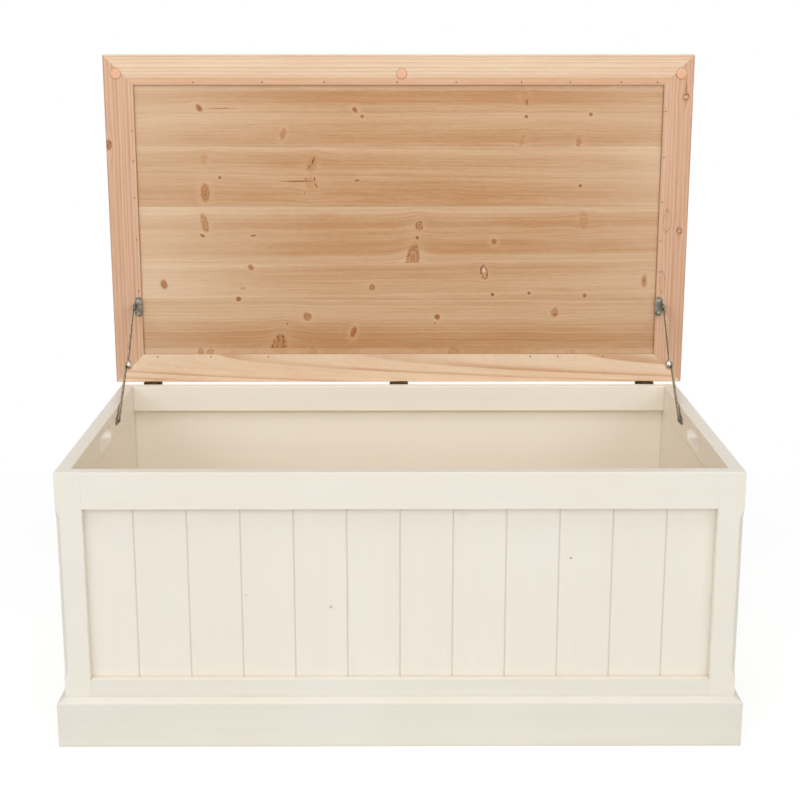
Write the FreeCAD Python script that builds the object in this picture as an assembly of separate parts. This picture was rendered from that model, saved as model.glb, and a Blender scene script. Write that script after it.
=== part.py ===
import FreeCAD, Part
import math
import os

os.makedirs("parts", exist_ok=True)

# A painted blanket chest with a framed plank lid, shown with the lid standing open.
# Millimetres. X runs along the front, Y from the front to the back, Z up from the floor.
# The origin is on the floor, midway across the chest and midway through its open depth.

# Carcass
body_width = 1000.0
body_depth = 565.0
body_height = 425.0
edge_round = 1.5

# Framed walls of the carcass
front_thickness = 20.0
side_thickness = 22.0
back_thickness = 18.0
front_stile_width = 38.0
side_stile_width = 38.0
back_stile_width = 22.0
top_rail_height = 56.0
back_rail_height = 45.0
bottom_rail_height = 56.0
bottom_rail_top = 103.0
rebate_width = 9.0
tenon_thickness = 7.0
tenon_length = 14.0
tenon_shoulder = 12.0
tenon_setback = 4.0
mortise_spare = 1.0

# Tongued boards and the plain back panel
board_thickness = 8.0
back_panel_thickness = 6.0
board_end_gap = 0.5
vee_depth = 1.5
tongue_length = 5.0
tongue_thickness = 2.6
tongue_clearance = 0.15
board_cover = 78.0

# Stopped chamfer on the two front corners
corner_chamfer = 6.0
chamfer_runout = 14.0

# Hand-holds in the side top rails
handhold_length = 100.0
handhold_height = 22.0
handhold_round = 3.0
handhold_drop_share = 0.47

# Base inside the carcass
base_thickness = 9.0
base_top = 85.0
base_gap = 0.5
batten_width = 18.0
batten_height = 18.0

# Plinth round the front and the sides
plinth_height = 76.0
plinth_projection = 11.0
plinth_slope_drop = 6.0
plinth_edge_round = 4.0

# Lid
lid_side_overhang = 10.0
lid_front_overhang = 12.0
lid_thickness = 21.0
lid_member_width = 51.0
lid_lip_thickness = 4.0
lid_lip_width = 14.0
lid_panel_gap = 0.4
lid_edge_round = 2.0
closed_gap = 2.3
plank_width_shares = (0.020, 0.201, 0.221, 0.210, 0.136, 0.189, 0.023)

# Brads through the lip into the planks, placed along the lid's inner opening
brad_head_radius = 1.1
brad_head_height = 0.6
brad_shank_radius = 0.7
brad_length = 15.0
brad_inset = 4.5
front_brad_shares = (0.113, 0.243, 0.36, 0.497, 0.608, 0.731, 0.823, 0.919, 0.987)
rear_brad_shares = (0.027, 0.131, 0.244, 0.758, 0.812, 0.9)
left_brad_shares = (0.164, 0.275, 0.41, 0.565, 0.758)
right_brad_shares = (0.096, 0.262, 0.426, 0.57, 0.686)

# Buffers under the lid's front edge
buffer_radius = 9.0
buffer_thickness = 2.2
buffer_front_inset = 32.0
buffer_side_inset = 22.0
buffer_centre_shift = 5.0

# Butt hinges
hinge_length = 32.0
hinge_end_distance = 56.0
knuckle_radius = 2.0
knuckle_gap = 0.3
knuckle_wall_gap = 0.3
pin_radius = 1.0
pin_head_radius = 1.6
pin_head_height = 0.8
leaf_thickness = 1.5
leaf_width = 18.0
hinge_screw_shares = (-0.3, 0.3)

# Folding lid stays
stay_side_setback = 177.0
stay_side_drop = 21.0
stay_lid_distance = 138.0
stay_lid_drop = 11.5
stay_bend_degrees = 8.0
stay_plate_length = 34.0
stay_plate_width = 13.0
stay_plate_thickness = 1.5
stay_arm_width = 11.0
stay_arm_thickness = 2.0
stay_arm_gap = 0.5
stay_ear_radius = 6.0
stay_rivet_radius = 2.0
stay_rivet_head_radius = 4.0
stay_rivet_head_height = 1.3
stay_tail_radius = 4.0
stay_tail_top_radius = 2.6
stay_tail_height = 1.3
knob_radius = 8.5
knob_rim = 3.0
knob_height = 7.0
knob_shank_radius = 2.5
stay_screw_shares = (-0.32, 0.32)

# Screws, running fits and cuts
screw_head_radius = 2.9
screw_shank_radius = 1.5
screw_tip_radius = 0.3
screw_tip_length = 4.0
screw_length = 14.0
fit_clearance = 0.05
cut_overrun = 1.0

# Places that follow from the sizes above
half_width = body_width / 2
inner_x = half_width - side_thickness
pin_offset = knuckle_radius + knuckle_wall_gap
open_depth = plinth_projection + body_depth + pin_offset + closed_gap / 2 + lid_thickness
front_y = plinth_projection - open_depth / 2
back_y = front_y + body_depth
inner_front_y = front_y + front_thickness
inner_back_y = back_y - back_thickness
side_mid_y = (inner_front_y + inner_back_y) / 2
pin_y = back_y + pin_offset
pin_z = body_height + closed_gap / 2
lid_under_z = body_height + closed_gap
lid_top_z = lid_under_z + lid_thickness
lid_half_width = half_width + lid_side_overhang
lid_front_y = front_y - lid_front_overhang
lid_open_x = lid_half_width - lid_member_width
lid_open_front_y = lid_front_y + lid_member_width
lid_open_rear_y = back_y - lid_member_width
hinge_places = {"left": hinge_end_distance - half_width, "centre": 0, "right": half_width - hinge_end_distance}


def vector(x, y, z):
    return FreeCAD.Vector(x, y, z)


along_x = vector(1, 0, 0)
along_y = vector(0, 1, 0)
along_z = vector(0, 0, 1)


def block(x0, x1, y0, y1, z0, z1):
    """A box between two corners."""
    return Part.makeBox(x1 - x0, y1 - y0, z1 - z0, vector(x0, y0, z0))


def rod(radius, start, end):
    """A round bar from one point to another."""
    span = end.sub(start)
    return Part.makeCylinder(radius, span.Length, start, span)


def prism(points, span):
    """A closed outline pushed along a vector."""
    outline = Part.makePolygon(points + points[:1])
    return Part.Face(outline).extrude(span)


def tidy(shape):
    """The one solid of a boolean's result, with split faces joined."""
    return shape.removeSplitter().Solids[0]


def fuse(pieces):
    return tidy(pieces[0].fuse(pieces[1:]))


def mirrored(shape):
    return shape.mirror(vector(0, 0, 0), along_x)


def moved(shape, x, y, z):
    return shape.translated(vector(x, y, z))


def opened(shape):
    """A piece drawn with the lid shut, turned up about the hinge pin."""
    turned = shape.copy()
    turned.rotate(vector(0, pin_y, pin_z), along_x, -90)
    return turned


def carcass_envelope():
    """The four walls as one ring with eased top edges and rear corners."""
    ring = block(-half_width, half_width, front_y, back_y, 0, body_height)
    hollow = block(-inner_x, inner_x, inner_front_y, inner_back_y, 0, body_height)
    ring = ring.cut(hollow)
    eased = []
    for edge in ring.Edges:
        ends = [corner.Point for corner in edge.Vertexes]
        on_top = all(abs(point.z - body_height) < fit_clearance for point in ends)
        at_rear = all(abs(point.y - back_y) < fit_clearance for point in ends)
        upright = edge.BoundBox.ZLength > body_height / 2
        if on_top or (at_rear and upright):
            eased.append(edge)
    return ring.makeFillet(edge_round, eased)


def board_outline(left, right, front, rear, grooved, tongued):
    """Plan of one board: a vee and a groove on its left edge, a vee and a tongue on its right."""
    middle = (front + rear) / 2
    tongue_front = middle - tongue_thickness / 2
    tongue_rear = middle + tongue_thickness / 2
    groove_front = tongue_front - tongue_clearance
    groove_rear = tongue_rear + tongue_clearance
    groove_end = left + tongue_length + tongue_clearance
    tongue_end = right + tongue_length
    points = [(left, front + vee_depth), (left + vee_depth, front)] if grooved else [(left, front)]
    if tongued:
        points += [(right - vee_depth, front), (right, front + vee_depth), (right, tongue_front)]
        points += [(tongue_end, tongue_front), (tongue_end, tongue_rear), (right, tongue_rear)]
    else:
        points += [(right, front)]
    points += [(right, rear), (left, rear)]
    if grooved:
        points += [(left, groove_rear), (groove_end, groove_rear)]
        points += [(groove_end, groove_front), (left, groove_front)]
    return points


def board_joints(width, stile_width):
    """Places of the joints between a wall's boards, set out from its middle; the end boards take what is left."""
    covers = max(1, round((width / 2 - stile_width) / board_cover))
    return [step * board_cover for step in range(1 - covers, covers)]


def framed_wall(width, thickness, stile_width, upper_height, panel_thickness, joints):
    """Stiles, tenoned rails and boards of one wall, with its show face at y = 0, centred on x."""
    half = width / 2
    opening = half - stile_width
    upper = body_height - upper_height
    shoulder = thickness - panel_thickness
    rebated = opening + rebate_width
    lower_edge = bottom_rail_top - rebate_width
    upper_edge = upper + rebate_width
    panel_space = block(-rebated, rebated, shoulder, thickness, lower_edge, upper_edge)
    rail_spans = {"top_rail": (upper, body_height),
                  "bottom_rail": (bottom_rail_top - bottom_rail_height, bottom_rail_top)}
    tenon_rear = tenon_setback + tenon_thickness

    def tenon(span, length):
        low = span[0] + tenon_shoulder
        high = span[1] - tenon_shoulder
        return block(opening, opening + length, tenon_setback, tenon_rear, low, high)

    wall = {}
    for name, span in rail_spans.items():
        rail = block(-opening, opening, 0, thickness, span[0], span[1]).cut(panel_space)
        end = tenon(span, tenon_length)
        wall[name] = fuse([rail, end, mirrored(end)])
    stile = block(opening, half, 0, thickness, 0, body_height).cut(panel_space)
    for span in rail_spans.values():
        stile = stile.cut(tenon(span, tenon_length + mortise_spare))
    wall["right_stile"] = tidy(stile)
    wall["left_stile"] = mirrored(wall["right_stile"])

    outer_edge = rebated - board_end_gap
    low = lower_edge + board_end_gap
    high = upper_edge - board_end_gap
    edges = [-outer_edge] + joints + [outer_edge]
    wall["boards"] = []
    for left, right in zip(edges, edges[1:]):
        plan = board_outline(left, right, shoulder, thickness, left in joints, right in joints)
        wall["boards"].append(prism([vector(x, y, low) for x, y in plan], vector(0, 0, high - low)))
    return wall


def corner_cut():
    """The stopped chamfer's waste at the right front corner, running out at both ends."""
    depth = corner_chamfer / math.sqrt(2)
    outward = vector(1, -1, 0).normalize()
    across = vector(1, 1, 0).normalize() * corner_chamfer
    corner = vector(half_width, front_y, 0)
    low = bottom_rail_top
    high = body_height - top_rail_height
    profile = [(-depth, low + chamfer_runout), (-depth, high - chamfer_runout)]
    profile += [(depth, high + chamfer_runout), (depth, low - chamfer_runout)]
    points = [corner + outward * reach + along_z * height - across for reach, height in profile]
    return prism(points, across * 2)


def handhold_cut():
    """A round-ended slot through the right side's top rail."""
    middle_z = body_height - top_rail_height * handhold_drop_share
    radius = handhold_height / 2
    reach = handhold_length / 2 - radius
    inside = inner_x - cut_overrun
    outside = half_width + cut_overrun
    slot = block(inside, outside, side_mid_y - reach, side_mid_y + reach, middle_z - radius, middle_z + radius)
    ends = [rod(radius, vector(inside, side_mid_y + place, middle_z), vector(outside, side_mid_y + place, middle_z))
            for place in (-reach, reach)]
    return fuse([slot] + ends)


def with_handhold(rail):
    """The rail with its hand-hold cut and both rims rounded over."""
    slot = handhold_cut()
    rail = tidy(rail.cut(slot))
    zone = slot.BoundBox
    zone.enlarge(fit_clearance)
    rims = [edge for edge in rail.Edges if zone.isInside(edge.BoundBox) and edge.BoundBox.XLength < fit_clearance]
    return rail.makeFillet(handhold_round, rims)


def hinge_pin_line(x0, x1):
    return vector(x0, pin_y, pin_z), vector(x1, pin_y, pin_z)


def hinge_leaf(x, side):
    """One hinge leaf, lid shut: side -1 hangs below the pin with two knuckles, side 1 stands above with one."""
    half = hinge_length / 2
    knuckle_length = (hinge_length - 2 * knuckle_gap) / 3
    middle = knuckle_length / 2
    spans = [(-middle, middle)] if side > 0 else [(-half, -middle - knuckle_gap), (middle + knuckle_gap, half)]
    near = pin_z + side * (knuckle_radius + knuckle_gap)
    far = pin_z + side * leaf_width
    face_y = back_y + leaf_thickness
    pieces = [block(x - half, x + half, back_y, face_y, min(near, far), max(near, far))]
    for start, end in spans:
        pieces.append(block(x + start, x + end, back_y, face_y, min(near, pin_z), max(near, pin_z)))
        pieces.append(rod(knuckle_radius, *hinge_pin_line(x + start, x + end)))
    leaf = fuse(pieces)
    bore = rod(pin_radius + fit_clearance, *hinge_pin_line(x - hinge_length, x + hinge_length))
    return leaf.cut(bore)


def hinge_screw_places(x, side):
    """Centres of one leaf's screws on its outer face, lid shut."""
    height = pin_z + side * (knuckle_radius + knuckle_gap + leaf_width) / 2
    return [vector(x + share * hinge_length, back_y + leaf_thickness, height) for share in hinge_screw_shares]


def hinge_pin(x):
    """A pin with a small head at each end of the knuckles."""
    half = hinge_length / 2
    pieces = [rod(pin_radius, *hinge_pin_line(x - half, x + half))]
    pieces.append(rod(pin_head_radius, *hinge_pin_line(x - half - pin_head_height, x - half)))
    pieces.append(rod(pin_head_radius, *hinge_pin_line(x + half, x + half + pin_head_height)))
    return fuse(pieces)


def screw(place, inward, plate, spare=0):
    """A countersunk screw seated in a plate, or with spare the hole that takes it."""
    head = Part.makeCone(screw_head_radius + spare, screw_shank_radius + spare, plate, place, inward)
    straight = screw_length - screw_tip_length
    shank = rod(screw_shank_radius + spare, place + inward * plate, place + inward * straight)
    tip = Part.makeCone(screw_shank_radius + spare, screw_tip_radius + spare, screw_tip_length + spare,
                        place + inward * straight, inward)
    return fuse([head, shank, tip])


def brad(place, spare=0):
    """A brad driven up from the lid's underside, or with spare the hole that takes it."""
    head = rod(brad_head_radius + spare, place, place + along_z * brad_head_height)
    shank = rod(brad_shank_radius + spare, place, place + along_z * (brad_length + spare))
    return fuse([head, shank])


def brad_places():
    """Brad heads just outside the lid's inner opening, on its underside."""
    width = 2 * lid_open_x
    length = lid_open_rear_y - lid_open_front_y
    places = [vector(width * share - lid_open_x, lid_open_front_y - brad_inset, lid_under_z)
              for share in front_brad_shares]
    places += [vector(width * share - lid_open_x, lid_open_rear_y + brad_inset, lid_under_z)
               for share in rear_brad_shares]
    places += [vector(-lid_open_x - brad_inset, lid_open_front_y + length * share, lid_under_z)
               for share in left_brad_shares]
    places += [vector(lid_open_x + brad_inset, lid_open_front_y + length * share, lid_under_z)
               for share in right_brad_shares]
    return places


# Stay linkage, worked out for the right side in the plane of the side wall
plate_x = inner_x - stay_plate_thickness
lower_arm_x = plate_x - stay_arm_gap - stay_arm_thickness
upper_arm_x = lower_arm_x - stay_arm_gap - stay_arm_thickness
ear_x = upper_arm_x - stay_arm_gap - stay_plate_thickness
lid_plate_x = ear_x + stay_plate_thickness - stay_plate_width / 2
side_pivot = vector(0, back_y - stay_side_setback, body_height - stay_side_drop)
lid_pivot_shut = vector(0, back_y - stay_lid_distance, lid_under_z - stay_lid_drop)
lid_pivot = vector(0, pin_y + lid_pivot_shut.z - pin_z, pin_z - lid_pivot_shut.y + pin_y)
half_bend = math.radians(stay_bend_degrees / 2)
arm_length = side_pivot.distanceToPoint(lid_pivot) / 2 / math.cos(half_bend)


def elbow_place(from_pivot, to_pivot):
    """Where two arms of equal length meet, on the lower rear side of the line between the pivots."""
    line = to_pivot.sub(from_pivot)
    middle = from_pivot + line * (1 / 2)
    height = math.sqrt(arm_length ** 2 - (line.Length / 2) ** 2)
    sideways = vector(0, line.z, -line.y).normalize()
    return middle + sideways * height


def turn_of(start, end):
    """Angle of a direction in the side plane, from +Y towards +Z, in degrees."""
    return math.degrees(math.atan2(end.z - start.z, end.y - start.y))


elbow = elbow_place(side_pivot, lid_pivot)
elbow_shut = elbow_place(side_pivot, lid_pivot_shut)
lower_arm_turn = turn_of(side_pivot, elbow_shut) - turn_of(side_pivot, elbow)
upper_arm_turn = turn_of(lid_pivot_shut, elbow_shut) - turn_of(lid_pivot, elbow) - 90


def at(x, place):
    return vector(x, place.y, place.z)


def stay_arm(x, start, end):
    """A flat bar with round ends between two pivots."""
    radius = stay_arm_width / 2
    length = start.distanceToPoint(end)
    bar = block(x, x + stay_arm_thickness, 0, length, -radius, radius)
    ends = [rod(radius, vector(x, place, 0), vector(x + stay_arm_thickness, place, 0)) for place in (0, length)]
    arm = fuse([bar] + ends)
    arm.rotate(vector(0, 0, 0), along_x, turn_of(start, end))
    return moved(arm, 0, start.y, start.z)


def pivot_hole(x, place, radius):
    reach = stay_arm_width
    return rod(radius + fit_clearance, at(x - reach, place), at(x + reach, place))


def lower_arm():
    """The arm on the side wall, with a riveted-over tail at its elbow end."""
    arm = stay_arm(lower_arm_x, side_pivot, elbow).cut(pivot_hole(lower_arm_x, side_pivot, stay_rivet_radius))
    outer_face = at(lower_arm_x + stay_arm_thickness, elbow)
    tail = Part.makeCone(stay_tail_radius, stay_tail_top_radius, stay_tail_height, outer_face, along_x)
    return fuse([arm, tail])


def upper_arm():
    arm = stay_arm(upper_arm_x, lid_pivot, elbow)
    arm = arm.cut(pivot_hole(upper_arm_x, lid_pivot, stay_rivet_radius))
    return tidy(arm.cut(pivot_hole(upper_arm_x, elbow, knob_shank_radius)))


def elbow_knob():
    """A knob with a spherical crown about the elbow's axis, its shank in the upper arm."""
    rim_x = upper_arm_x - knob_rim
    crown_x = upper_arm_x - knob_height
    arm_face_x = upper_arm_x + stay_arm_thickness
    rise = knob_height - knob_rim
    crown_radius = (knob_radius ** 2 + rise ** 2) / (2 * rise)
    half_angle = math.atan2(rise, knob_radius)
    shoulder = vector(crown_x + crown_radius * (1 - math.cos(half_angle)), crown_radius * math.sin(half_angle), 0)
    corners = [vector(arm_face_x, 0, 0), vector(arm_face_x, knob_shank_radius, 0)]
    corners += [vector(upper_arm_x, knob_shank_radius, 0), vector(upper_arm_x, knob_radius, 0)]
    corners += [vector(rim_x, knob_radius, 0)]
    crown = vector(crown_x, 0, 0)
    edges = [Part.LineSegment(a, b).toShape() for a, b in zip(corners, corners[1:])]
    edges.append(Part.Arc(corners[-1], shoulder, crown).toShape())
    edges.append(Part.LineSegment(crown, corners[0]).toShape())
    knob = Part.Face(Part.Wire(edges)).revolve(vector(0, 0, 0), along_x, 360)
    return moved(knob, 0, elbow.y, elbow.z)


def side_bracket():
    """A round-ended plate screwed to the side's top rail."""
    radius = stay_plate_width / 2
    reach = stay_plate_length / 2 - radius
    plate = block(plate_x, inner_x, side_pivot.y - reach, side_pivot.y + reach,
                  side_pivot.z - radius, side_pivot.z + radius)
    ends = [rod(radius, vector(plate_x, side_pivot.y + place, side_pivot.z),
                vector(inner_x, side_pivot.y + place, side_pivot.z)) for place in (-reach, reach)]
    return tidy(fuse([plate] + ends).cut(pivot_hole(plate_x, side_pivot, stay_rivet_radius)))


def side_bracket_screw_places():
    return [vector(plate_x, side_pivot.y + share * stay_plate_length, side_pivot.z) for share in stay_screw_shares]


def side_rivet():
    """The lower arm's pivot, headed on the inner side."""
    head_x = lower_arm_x - stay_arm_gap / 2
    shank = rod(stay_rivet_radius, at(head_x, side_pivot), at(inner_x, side_pivot))
    head = rod(stay_rivet_head_radius, at(head_x - stay_rivet_head_height, side_pivot), at(head_x, side_pivot))
    return fuse([shank, head])


def lid_bracket():
    """Lid shut: a round-ended plate under the lid with an ear hanging from its outer edge."""
    radius = stay_plate_width / 2
    reach = stay_plate_length / 2 - radius
    place = lid_pivot_shut
    under = lid_under_z - stay_plate_thickness
    plate = block(lid_plate_x - radius, lid_plate_x + radius, place.y - reach, place.y + reach, under, lid_under_z)
    ends = [rod(radius, vector(lid_plate_x, place.y + shift, under), vector(lid_plate_x, place.y + shift, lid_under_z))
            for shift in (-reach, reach)]
    ear_face_x = ear_x + stay_plate_thickness
    ear = block(ear_x, ear_face_x, place.y - stay_ear_radius, place.y + stay_ear_radius, place.z, lid_under_z)
    ear_end = rod(stay_ear_radius, at(ear_x, place), at(ear_face_x, place))
    bracket = fuse([plate, ear, ear_end] + ends)
    return tidy(bracket.cut(pivot_hole(ear_x, place, stay_rivet_radius)))


def lid_bracket_screw_places():
    under = lid_under_z - stay_plate_thickness
    return [vector(lid_plate_x, lid_pivot_shut.y + share * stay_plate_length, under) for share in stay_screw_shares]


def lid_rivet():
    """The upper arm's pivot in the lid bracket's ear, headed on both sides."""
    inner_face = ear_x
    outer_face = upper_arm_x + stay_arm_thickness + stay_arm_gap / 2
    place = lid_pivot_shut
    shank = rod(stay_rivet_radius, at(inner_face, place), at(outer_face, place))
    heads = [rod(stay_rivet_head_radius, at(inner_face - stay_rivet_head_height, place), at(inner_face, place)),
             rod(stay_rivet_head_radius, at(outer_face, place), at(outer_face + stay_rivet_head_height, place))]
    return fuse([shank] + heads)


def plinth_profile(outward):
    """Section of the plinth board, standing on the floor against the carcass."""
    face = outward * plinth_projection
    slope_foot = plinth_height - plinth_slope_drop
    return [vector(0, 0, 0), face, face + along_z * slope_foot, along_z * plinth_height]


def plinth_board(outward, start, span, plan):
    """A board of that section, its upper edge rounded, cut to a mitred plan."""
    bar = prism([point + start for point in plinth_profile(outward)], span)
    nosing = start + outward * plinth_projection + along_z * (plinth_height - plinth_slope_drop)
    on_nosing = [edge for edge in bar.Edges
                 if all(corner.Point.sub(nosing).cross(span).Length < span.Length * fit_clearance
                        for corner in edge.Vertexes)]
    bar = bar.makeFillet(plinth_edge_round, on_nosing)
    return tidy(bar.common(prism([vector(x, y, 0) for x, y in plan], along_z * plinth_height)))


def plinth():
    outer_x = half_width + plinth_projection
    outer_y = front_y - plinth_projection
    front_plan = [(-outer_x, outer_y), (outer_x, outer_y), (half_width, front_y), (-half_width, front_y)]
    right_plan = [(outer_x, outer_y), (outer_x, back_y), (half_width, back_y), (half_width, front_y)]
    front = plinth_board(vector(0, -1, 0), vector(-outer_x, front_y, 0), along_x * (2 * outer_x), front_plan)
    right = plinth_board(along_x, vector(half_width, outer_y, 0), along_y * (back_y - outer_y), right_plan)
    return {"plinth_front": front, "plinth_left": mirrored(right), "plinth_right": right}


def base():
    """The base panel and the four battens under it."""
    low = base_top - base_thickness
    foot = low - batten_height
    panel = block(base_gap - inner_x, inner_x - base_gap, inner_front_y + base_gap, inner_back_y - base_gap,
                  low, base_top)
    front = block(-inner_x, inner_x, inner_front_y, inner_front_y + batten_width, foot, low)
    rear = block(-inner_x, inner_x, inner_back_y - batten_width, inner_back_y, foot, low)
    right = block(inner_x - batten_width, inner_x, inner_front_y + batten_width, inner_back_y - batten_width, foot, low)
    return {"base_panel": panel, "base_battens": [front, rear, mirrored(right), right]}


def lid_envelope():
    """The whole lid's outer form, lid shut, with eased edges."""
    slab = block(-lid_half_width, lid_half_width, lid_front_y, back_y, lid_under_z, lid_top_z)
    return slab.makeFillet(lid_edge_round, slab.Edges)


def lid_wood(holes):
    """Four mitred members with a lip, and the planks that lie on it, all with the lid shut."""
    lip_top = lid_under_z + lid_lip_thickness
    seat_x = lid_open_x + lid_lip_width
    seat_front = lid_open_front_y - lid_lip_width
    seat_rear = lid_open_rear_y + lid_lip_width
    seat = block(-seat_x, seat_x, seat_front, seat_rear, lip_top, lid_top_z)
    front = [(-lid_half_width, lid_front_y), (lid_half_width, lid_front_y),
             (lid_open_x, lid_open_front_y), (-lid_open_x, lid_open_front_y)]
    rear = [(-lid_half_width, back_y), (lid_half_width, back_y),
            (lid_open_x, lid_open_rear_y), (-lid_open_x, lid_open_rear_y)]
    right = [(lid_half_width, lid_front_y), (lid_half_width, back_y),
             (lid_open_x, lid_open_rear_y), (lid_open_x, lid_open_front_y)]
    left = [(-x, y) for x, y in right]
    plans = {"lid_front_rail": front, "lid_rear_rail": rear, "lid_left_stile": left, "lid_right_stile": right}
    envelope = lid_envelope()
    pieces = {}
    for name, plan in plans.items():
        member = prism([vector(x, y, lid_under_z) for x, y in plan], along_z * lid_thickness)
        pieces[name] = tidy(member.common(envelope).cut([seat] + holes))
    edge_x = seat_x - lid_panel_gap
    opening = lid_open_rear_y - lid_open_front_y
    front_edge = seat_front + lid_panel_gap
    reached = lid_open_front_y
    for index, share in enumerate(plank_width_shares):
        reached = reached + share * opening
        last = index == len(plank_width_shares) - 1
        rear_edge = seat_rear - lid_panel_gap if last else reached
        plank = block(-edge_x, edge_x, front_edge, rear_edge, lip_top, lid_top_z)
        pieces["lid_plank_%d" % (index + 1)] = tidy(plank.cut(holes))
        front_edge = rear_edge
    return pieces


def lid_buffers():
    """Three buffer discs under the lid's front rail, lid shut."""
    side_x = lid_half_width - buffer_side_inset
    y = lid_front_y + buffer_front_inset
    foot = lid_under_z - buffer_thickness
    return [rod(buffer_radius, vector(x, y, foot), vector(x, y, lid_under_z))
            for x in (-side_x, buffer_centre_shift, side_x)]


def both_sides(piece):
    return [mirrored(piece), piece]


def carcass_walls(holes):
    """Every stile, rail and board of the four walls in its place."""
    envelope = carcass_envelope()
    side_width = inner_back_y - inner_front_y
    front = framed_wall(body_width, front_thickness, front_stile_width, top_rail_height, board_thickness,
                        board_joints(body_width, front_stile_width))
    back = framed_wall(body_width, back_thickness, back_stile_width, back_rail_height, back_panel_thickness, [])
    side = framed_wall(side_width, side_thickness, side_stile_width, top_rail_height, board_thickness,
                       board_joints(side_width, side_stile_width))

    def on_side(shape):
        turned = shape.copy()
        turned.rotate(vector(0, 0, 0), along_z, 90)
        return moved(turned, half_width, side_mid_y, 0)

    def eased(shape):
        return tidy(shape.common(envelope))

    pieces = {}
    chamfer = corner_cut()
    right_stile = eased(moved(front["right_stile"], 0, front_y, 0)).cut(chamfer)
    pieces["front_left_stile"] = mirrored(tidy(right_stile))
    pieces["front_right_stile"] = tidy(right_stile)
    for name in ("top_rail", "bottom_rail"):
        pieces["front_" + name] = eased(moved(front[name], 0, front_y, 0))
        pieces["back_" + name] = tidy(eased(moved(back[name], 0, inner_back_y, 0)).cut(holes))
    pieces["front_boards"] = [moved(board, 0, front_y, 0) for board in front["boards"]]
    pieces["back_panel"] = moved(back["boards"][0], 0, inner_back_y, 0)
    for name in ("left_stile", "right_stile"):
        pieces["back_" + name] = eased(moved(back[name], 0, inner_back_y, 0))

    right_side = {"front_stile": eased(on_side(side["left_stile"])),
                  "rear_stile": eased(on_side(side["right_stile"])),
                  "top_rail": with_handhold(eased(on_side(side["top_rail"]))).cut(holes),
                  "bottom_rail": eased(on_side(side["bottom_rail"]))}
    for name, shape in right_side.items():
        left, right = both_sides(tidy(shape))
        pieces["left_" + name] = left
        pieces["right_" + name] = right
    boards = [on_side(board) for board in side["boards"]]
    pieces["left_boards"] = [mirrored(board) for board in boards]
    pieces["right_boards"] = boards
    return pieces


def hardware():
    """Hinges, stays, screws and the holes they need: chest pieces as they stand, lid pieces lid shut."""
    into_chest = vector(0, -1, 0)
    chest = {"chest_screws": [], "hinge_pins": []}
    lid = {"lid_screws": []}
    chest_holes = []
    lid_holes = [brad(place, fit_clearance) for place in brad_places()]
    for place_name, x in hinge_places.items():
        chest_leaf = hinge_leaf(x, -1)
        lid_leaf = hinge_leaf(x, 1)
        for place in hinge_screw_places(x, -1):
            chest["chest_screws"].append(screw(place, into_chest, leaf_thickness))
            chest_holes.append(screw(place, into_chest, leaf_thickness, fit_clearance))
        for place in hinge_screw_places(x, 1):
            lid["lid_screws"].append(screw(place, into_chest, leaf_thickness))
            lid_holes.append(screw(place, into_chest, leaf_thickness, fit_clearance))
        chest[place_name + "_hinge_chest_leaf"] = tidy(chest_leaf.cut(chest_holes))
        lid[place_name + "_hinge_lid_leaf"] = tidy(lid_leaf.cut(lid_holes))
        chest["hinge_pins"].append(hinge_pin(x))

    side_holes = [screw(place, along_x, stay_plate_thickness, fit_clearance) for place in side_bracket_screw_places()]
    ear_holes = [screw(place, along_z, stay_plate_thickness, fit_clearance) for place in lid_bracket_screw_places()]
    chest_holes += side_holes
    for hole in ear_holes:
        lid_holes += both_sides(hole)
    for place in side_bracket_screw_places():
        chest["chest_screws"] += both_sides(screw(place, along_x, stay_plate_thickness))
    for place in lid_bracket_screw_places():
        lid["lid_screws"] += both_sides(screw(place, along_z, stay_plate_thickness))
    paired = {"side_bracket": tidy(side_bracket().cut(side_holes)), "lower_arm": lower_arm(),
              "upper_arm": upper_arm(), "knob": elbow_knob()}
    for name, shape in paired.items():
        left, right = both_sides(shape)
        chest["left_stay_" + name] = left
        chest["right_stay_" + name] = right
    left, right = both_sides(tidy(lid_bracket().cut(ear_holes)))
    lid["left_stay_lid_bracket"] = left
    lid["right_stay_lid_bracket"] = right
    chest["stay_side_rivets"] = both_sides(side_rivet())
    lid["stay_lid_rivets"] = both_sides(lid_rivet())
    return chest, lid, chest_holes, lid_holes


def build():
    """Every node by name, each one solid or a list of separate solids, as the open chest stands."""
    chest, lid, chest_holes, lid_holes = hardware()
    lid.update(lid_wood(lid_holes))
    lid["lid_brads"] = [brad(place) for place in brad_places()]
    lid["lid_buffers"] = lid_buffers()
    nodes = carcass_walls(chest_holes)
    nodes.update(plinth())
    nodes.update(base())
    nodes.update(chest)
    for name, shape in lid.items():
        nodes[name] = [opened(piece) for piece in shape] if isinstance(shape, list) else opened(shape)
    return nodes


nodes = build()
for name, shape in sorted(nodes.items()):
    whole = Part.makeCompound(shape) if isinstance(shape, list) else shape
    whole.exportStep("parts/%s.step" % name)
    print(name, "solids", len(whole.Solids), "valid", whole.isValid(), "litres %.4f" % (whole.Volume / 1e6))
print("nodes", len(nodes), "open depth", open_depth, "arm length", arm_length)
print("arm turns as the lid shuts", lower_arm_turn, upper_arm_turn)
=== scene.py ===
# %% [markdown]
# # A painted blanket chest with a knotty pine lid
# The chest's pieces arrive with their real shape, size and place, so this lesson is about finish: brushed
# cream paint, pine that shows its growth rings and knots, plated steel and a soft studio. Every cell adds one
# thing and prints what it made. The units are metres, +Z is up and the chest's front looks along -Y.

# %% Load the chest
import math

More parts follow.
